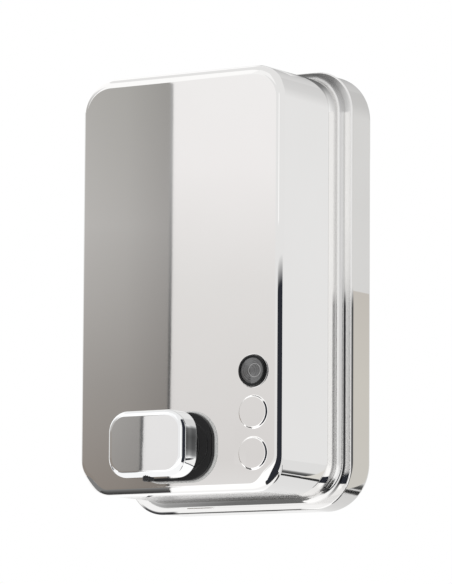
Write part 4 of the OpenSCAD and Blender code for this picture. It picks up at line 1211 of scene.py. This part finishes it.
# %% Studio: cards at the button
BUTTON_X, BUTTON_Z, SHADE_X, COVER_X = 0.03, -0.0925, 0.023, 0.0232
sheet("button_slip", [(-BUTTON_X, -0.094, BUTTON_Z), (BUTTON_X, -0.094, BUTTON_Z)],
      [(-BUTTON_X, -0.106, BUTTON_Z), (BUTTON_X, -0.106, BUTTON_Z)], even(1.1))
sheet("button_shade", [(SHADE_X, -0.084, -0.084), (SHADE_X, -0.095, -0.084)],
      [(SHADE_X, -0.084, -0.067), (SHADE_X, -0.095, -0.067)],
      [(0.0, grey(0.9)), (0.12, grey(0.3)), (0.28, grey(0.12)), (0.6, grey(0.09)), (0.85, grey(0.16)),
       (1.0, grey(0.8))],
      [(0.0, grey(1.0)), (0.35, grey(0.8)), (0.6, grey(1.3)), (0.8, grey(0.9)), (1.0, grey(1.0))])
sheet("button_cover", [(COVER_X, -0.0835, -0.0842), (COVER_X, -0.0952, -0.0842)],
      [(COVER_X, -0.0835, -0.0668), (COVER_X, -0.0952, -0.0668)],
      [(0.0, (0.895, 0.877, 0.868)), (0.45, (0.86, 0.84, 0.83)), (1.0, (0.871, 0.852, 0.842))])
print("cards at the button set")

# %% [markdown]
# Black strips on the floor behind and black panels at its sides draw the dark lines along the lower edges.
# In the mirror of the tank's rounded lower edge, the left panel has to end in a line straight across the
# bend. A mirrored ray turns twice as far as the bend does, so the panel's edge is a formula: rays with one
# slant to the left, turned from a start near the level by twice the bend, and followed from the tank's
# lower edge down to the floor. Turns and bends are in degrees.

# %% Studio: floor panels
PANEL_LIFT, PANEL_W, STRIP_ENDS = 0.01, 0.5, (0.15, 1.2)
FAR_TONES = [(0.0, grey(0.06)), (0.5, grey(0.15)), (1.0, grey(0.7))]
MIRROR_X, MIRROR_OUT, MIRROR_Z = -2.4, 70.4, -94.9
MIRROR_SLANT, MIRROR_START, MIRROR_BENDS = 0.6393, -98.83, (8, 10, 12, 15, 18, *range(22, 68, 5))


def panel(name, low, high, tones=BLACK, across=PLAIN):
    """A dark sheet that lies just above the floor."""
    rows = [[(x, y, FLOOR_Z + PANEL_LIFT) for x, y in row] for row in (low, high)]
    sheet(name, *rows, tones, across)


drop = MIRROR_Z * MM - FLOOR_Z - PANEL_LIFT
mirrored_turns = [math.radians(MIRROR_START + 2 * bent) for bent in MIRROR_BENDS]
left_edge = [(MIRROR_X * MM - MIRROR_SLANT * drop / math.cos(turn), -MIRROR_OUT * MM + drop * math.tan(turn))
             for turn in mirrored_turns]
panel("left_panel", left_edge, [(x - PANEL_W, y) for x, y in left_edge], PLAIN,
      [(0.0, grey(0.36)), (0.3, grey(0.2)), (0.6, grey(0.08)), (1.0, grey(0.05))])
panel("right_panel", [(0.10, -0.32), (0.06, 0.2), (0.04, 0.66)], [(0.70, -0.36), (0.60, 0.12), (0.34, 0.62)])
for name, near, far, tones in (("near_strip", 0.86, 0.93, BLACK), ("far_strip", 0.97, 1.2, FAR_TONES)):
    panel(name, [(x, near) for x in STRIP_ENDS], [(x, far) for x in STRIP_ENDS], tones)
print("floor panels set")

# %% [markdown]
# The new pieces stay within the box of the imported ones. Both boxes are kept in a table, and the new one
# is printed.

size = {"cad": [list(corner) for corner in cad_box], "visual": [list(corner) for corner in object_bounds()]}
print("visual box:", size["visual"])
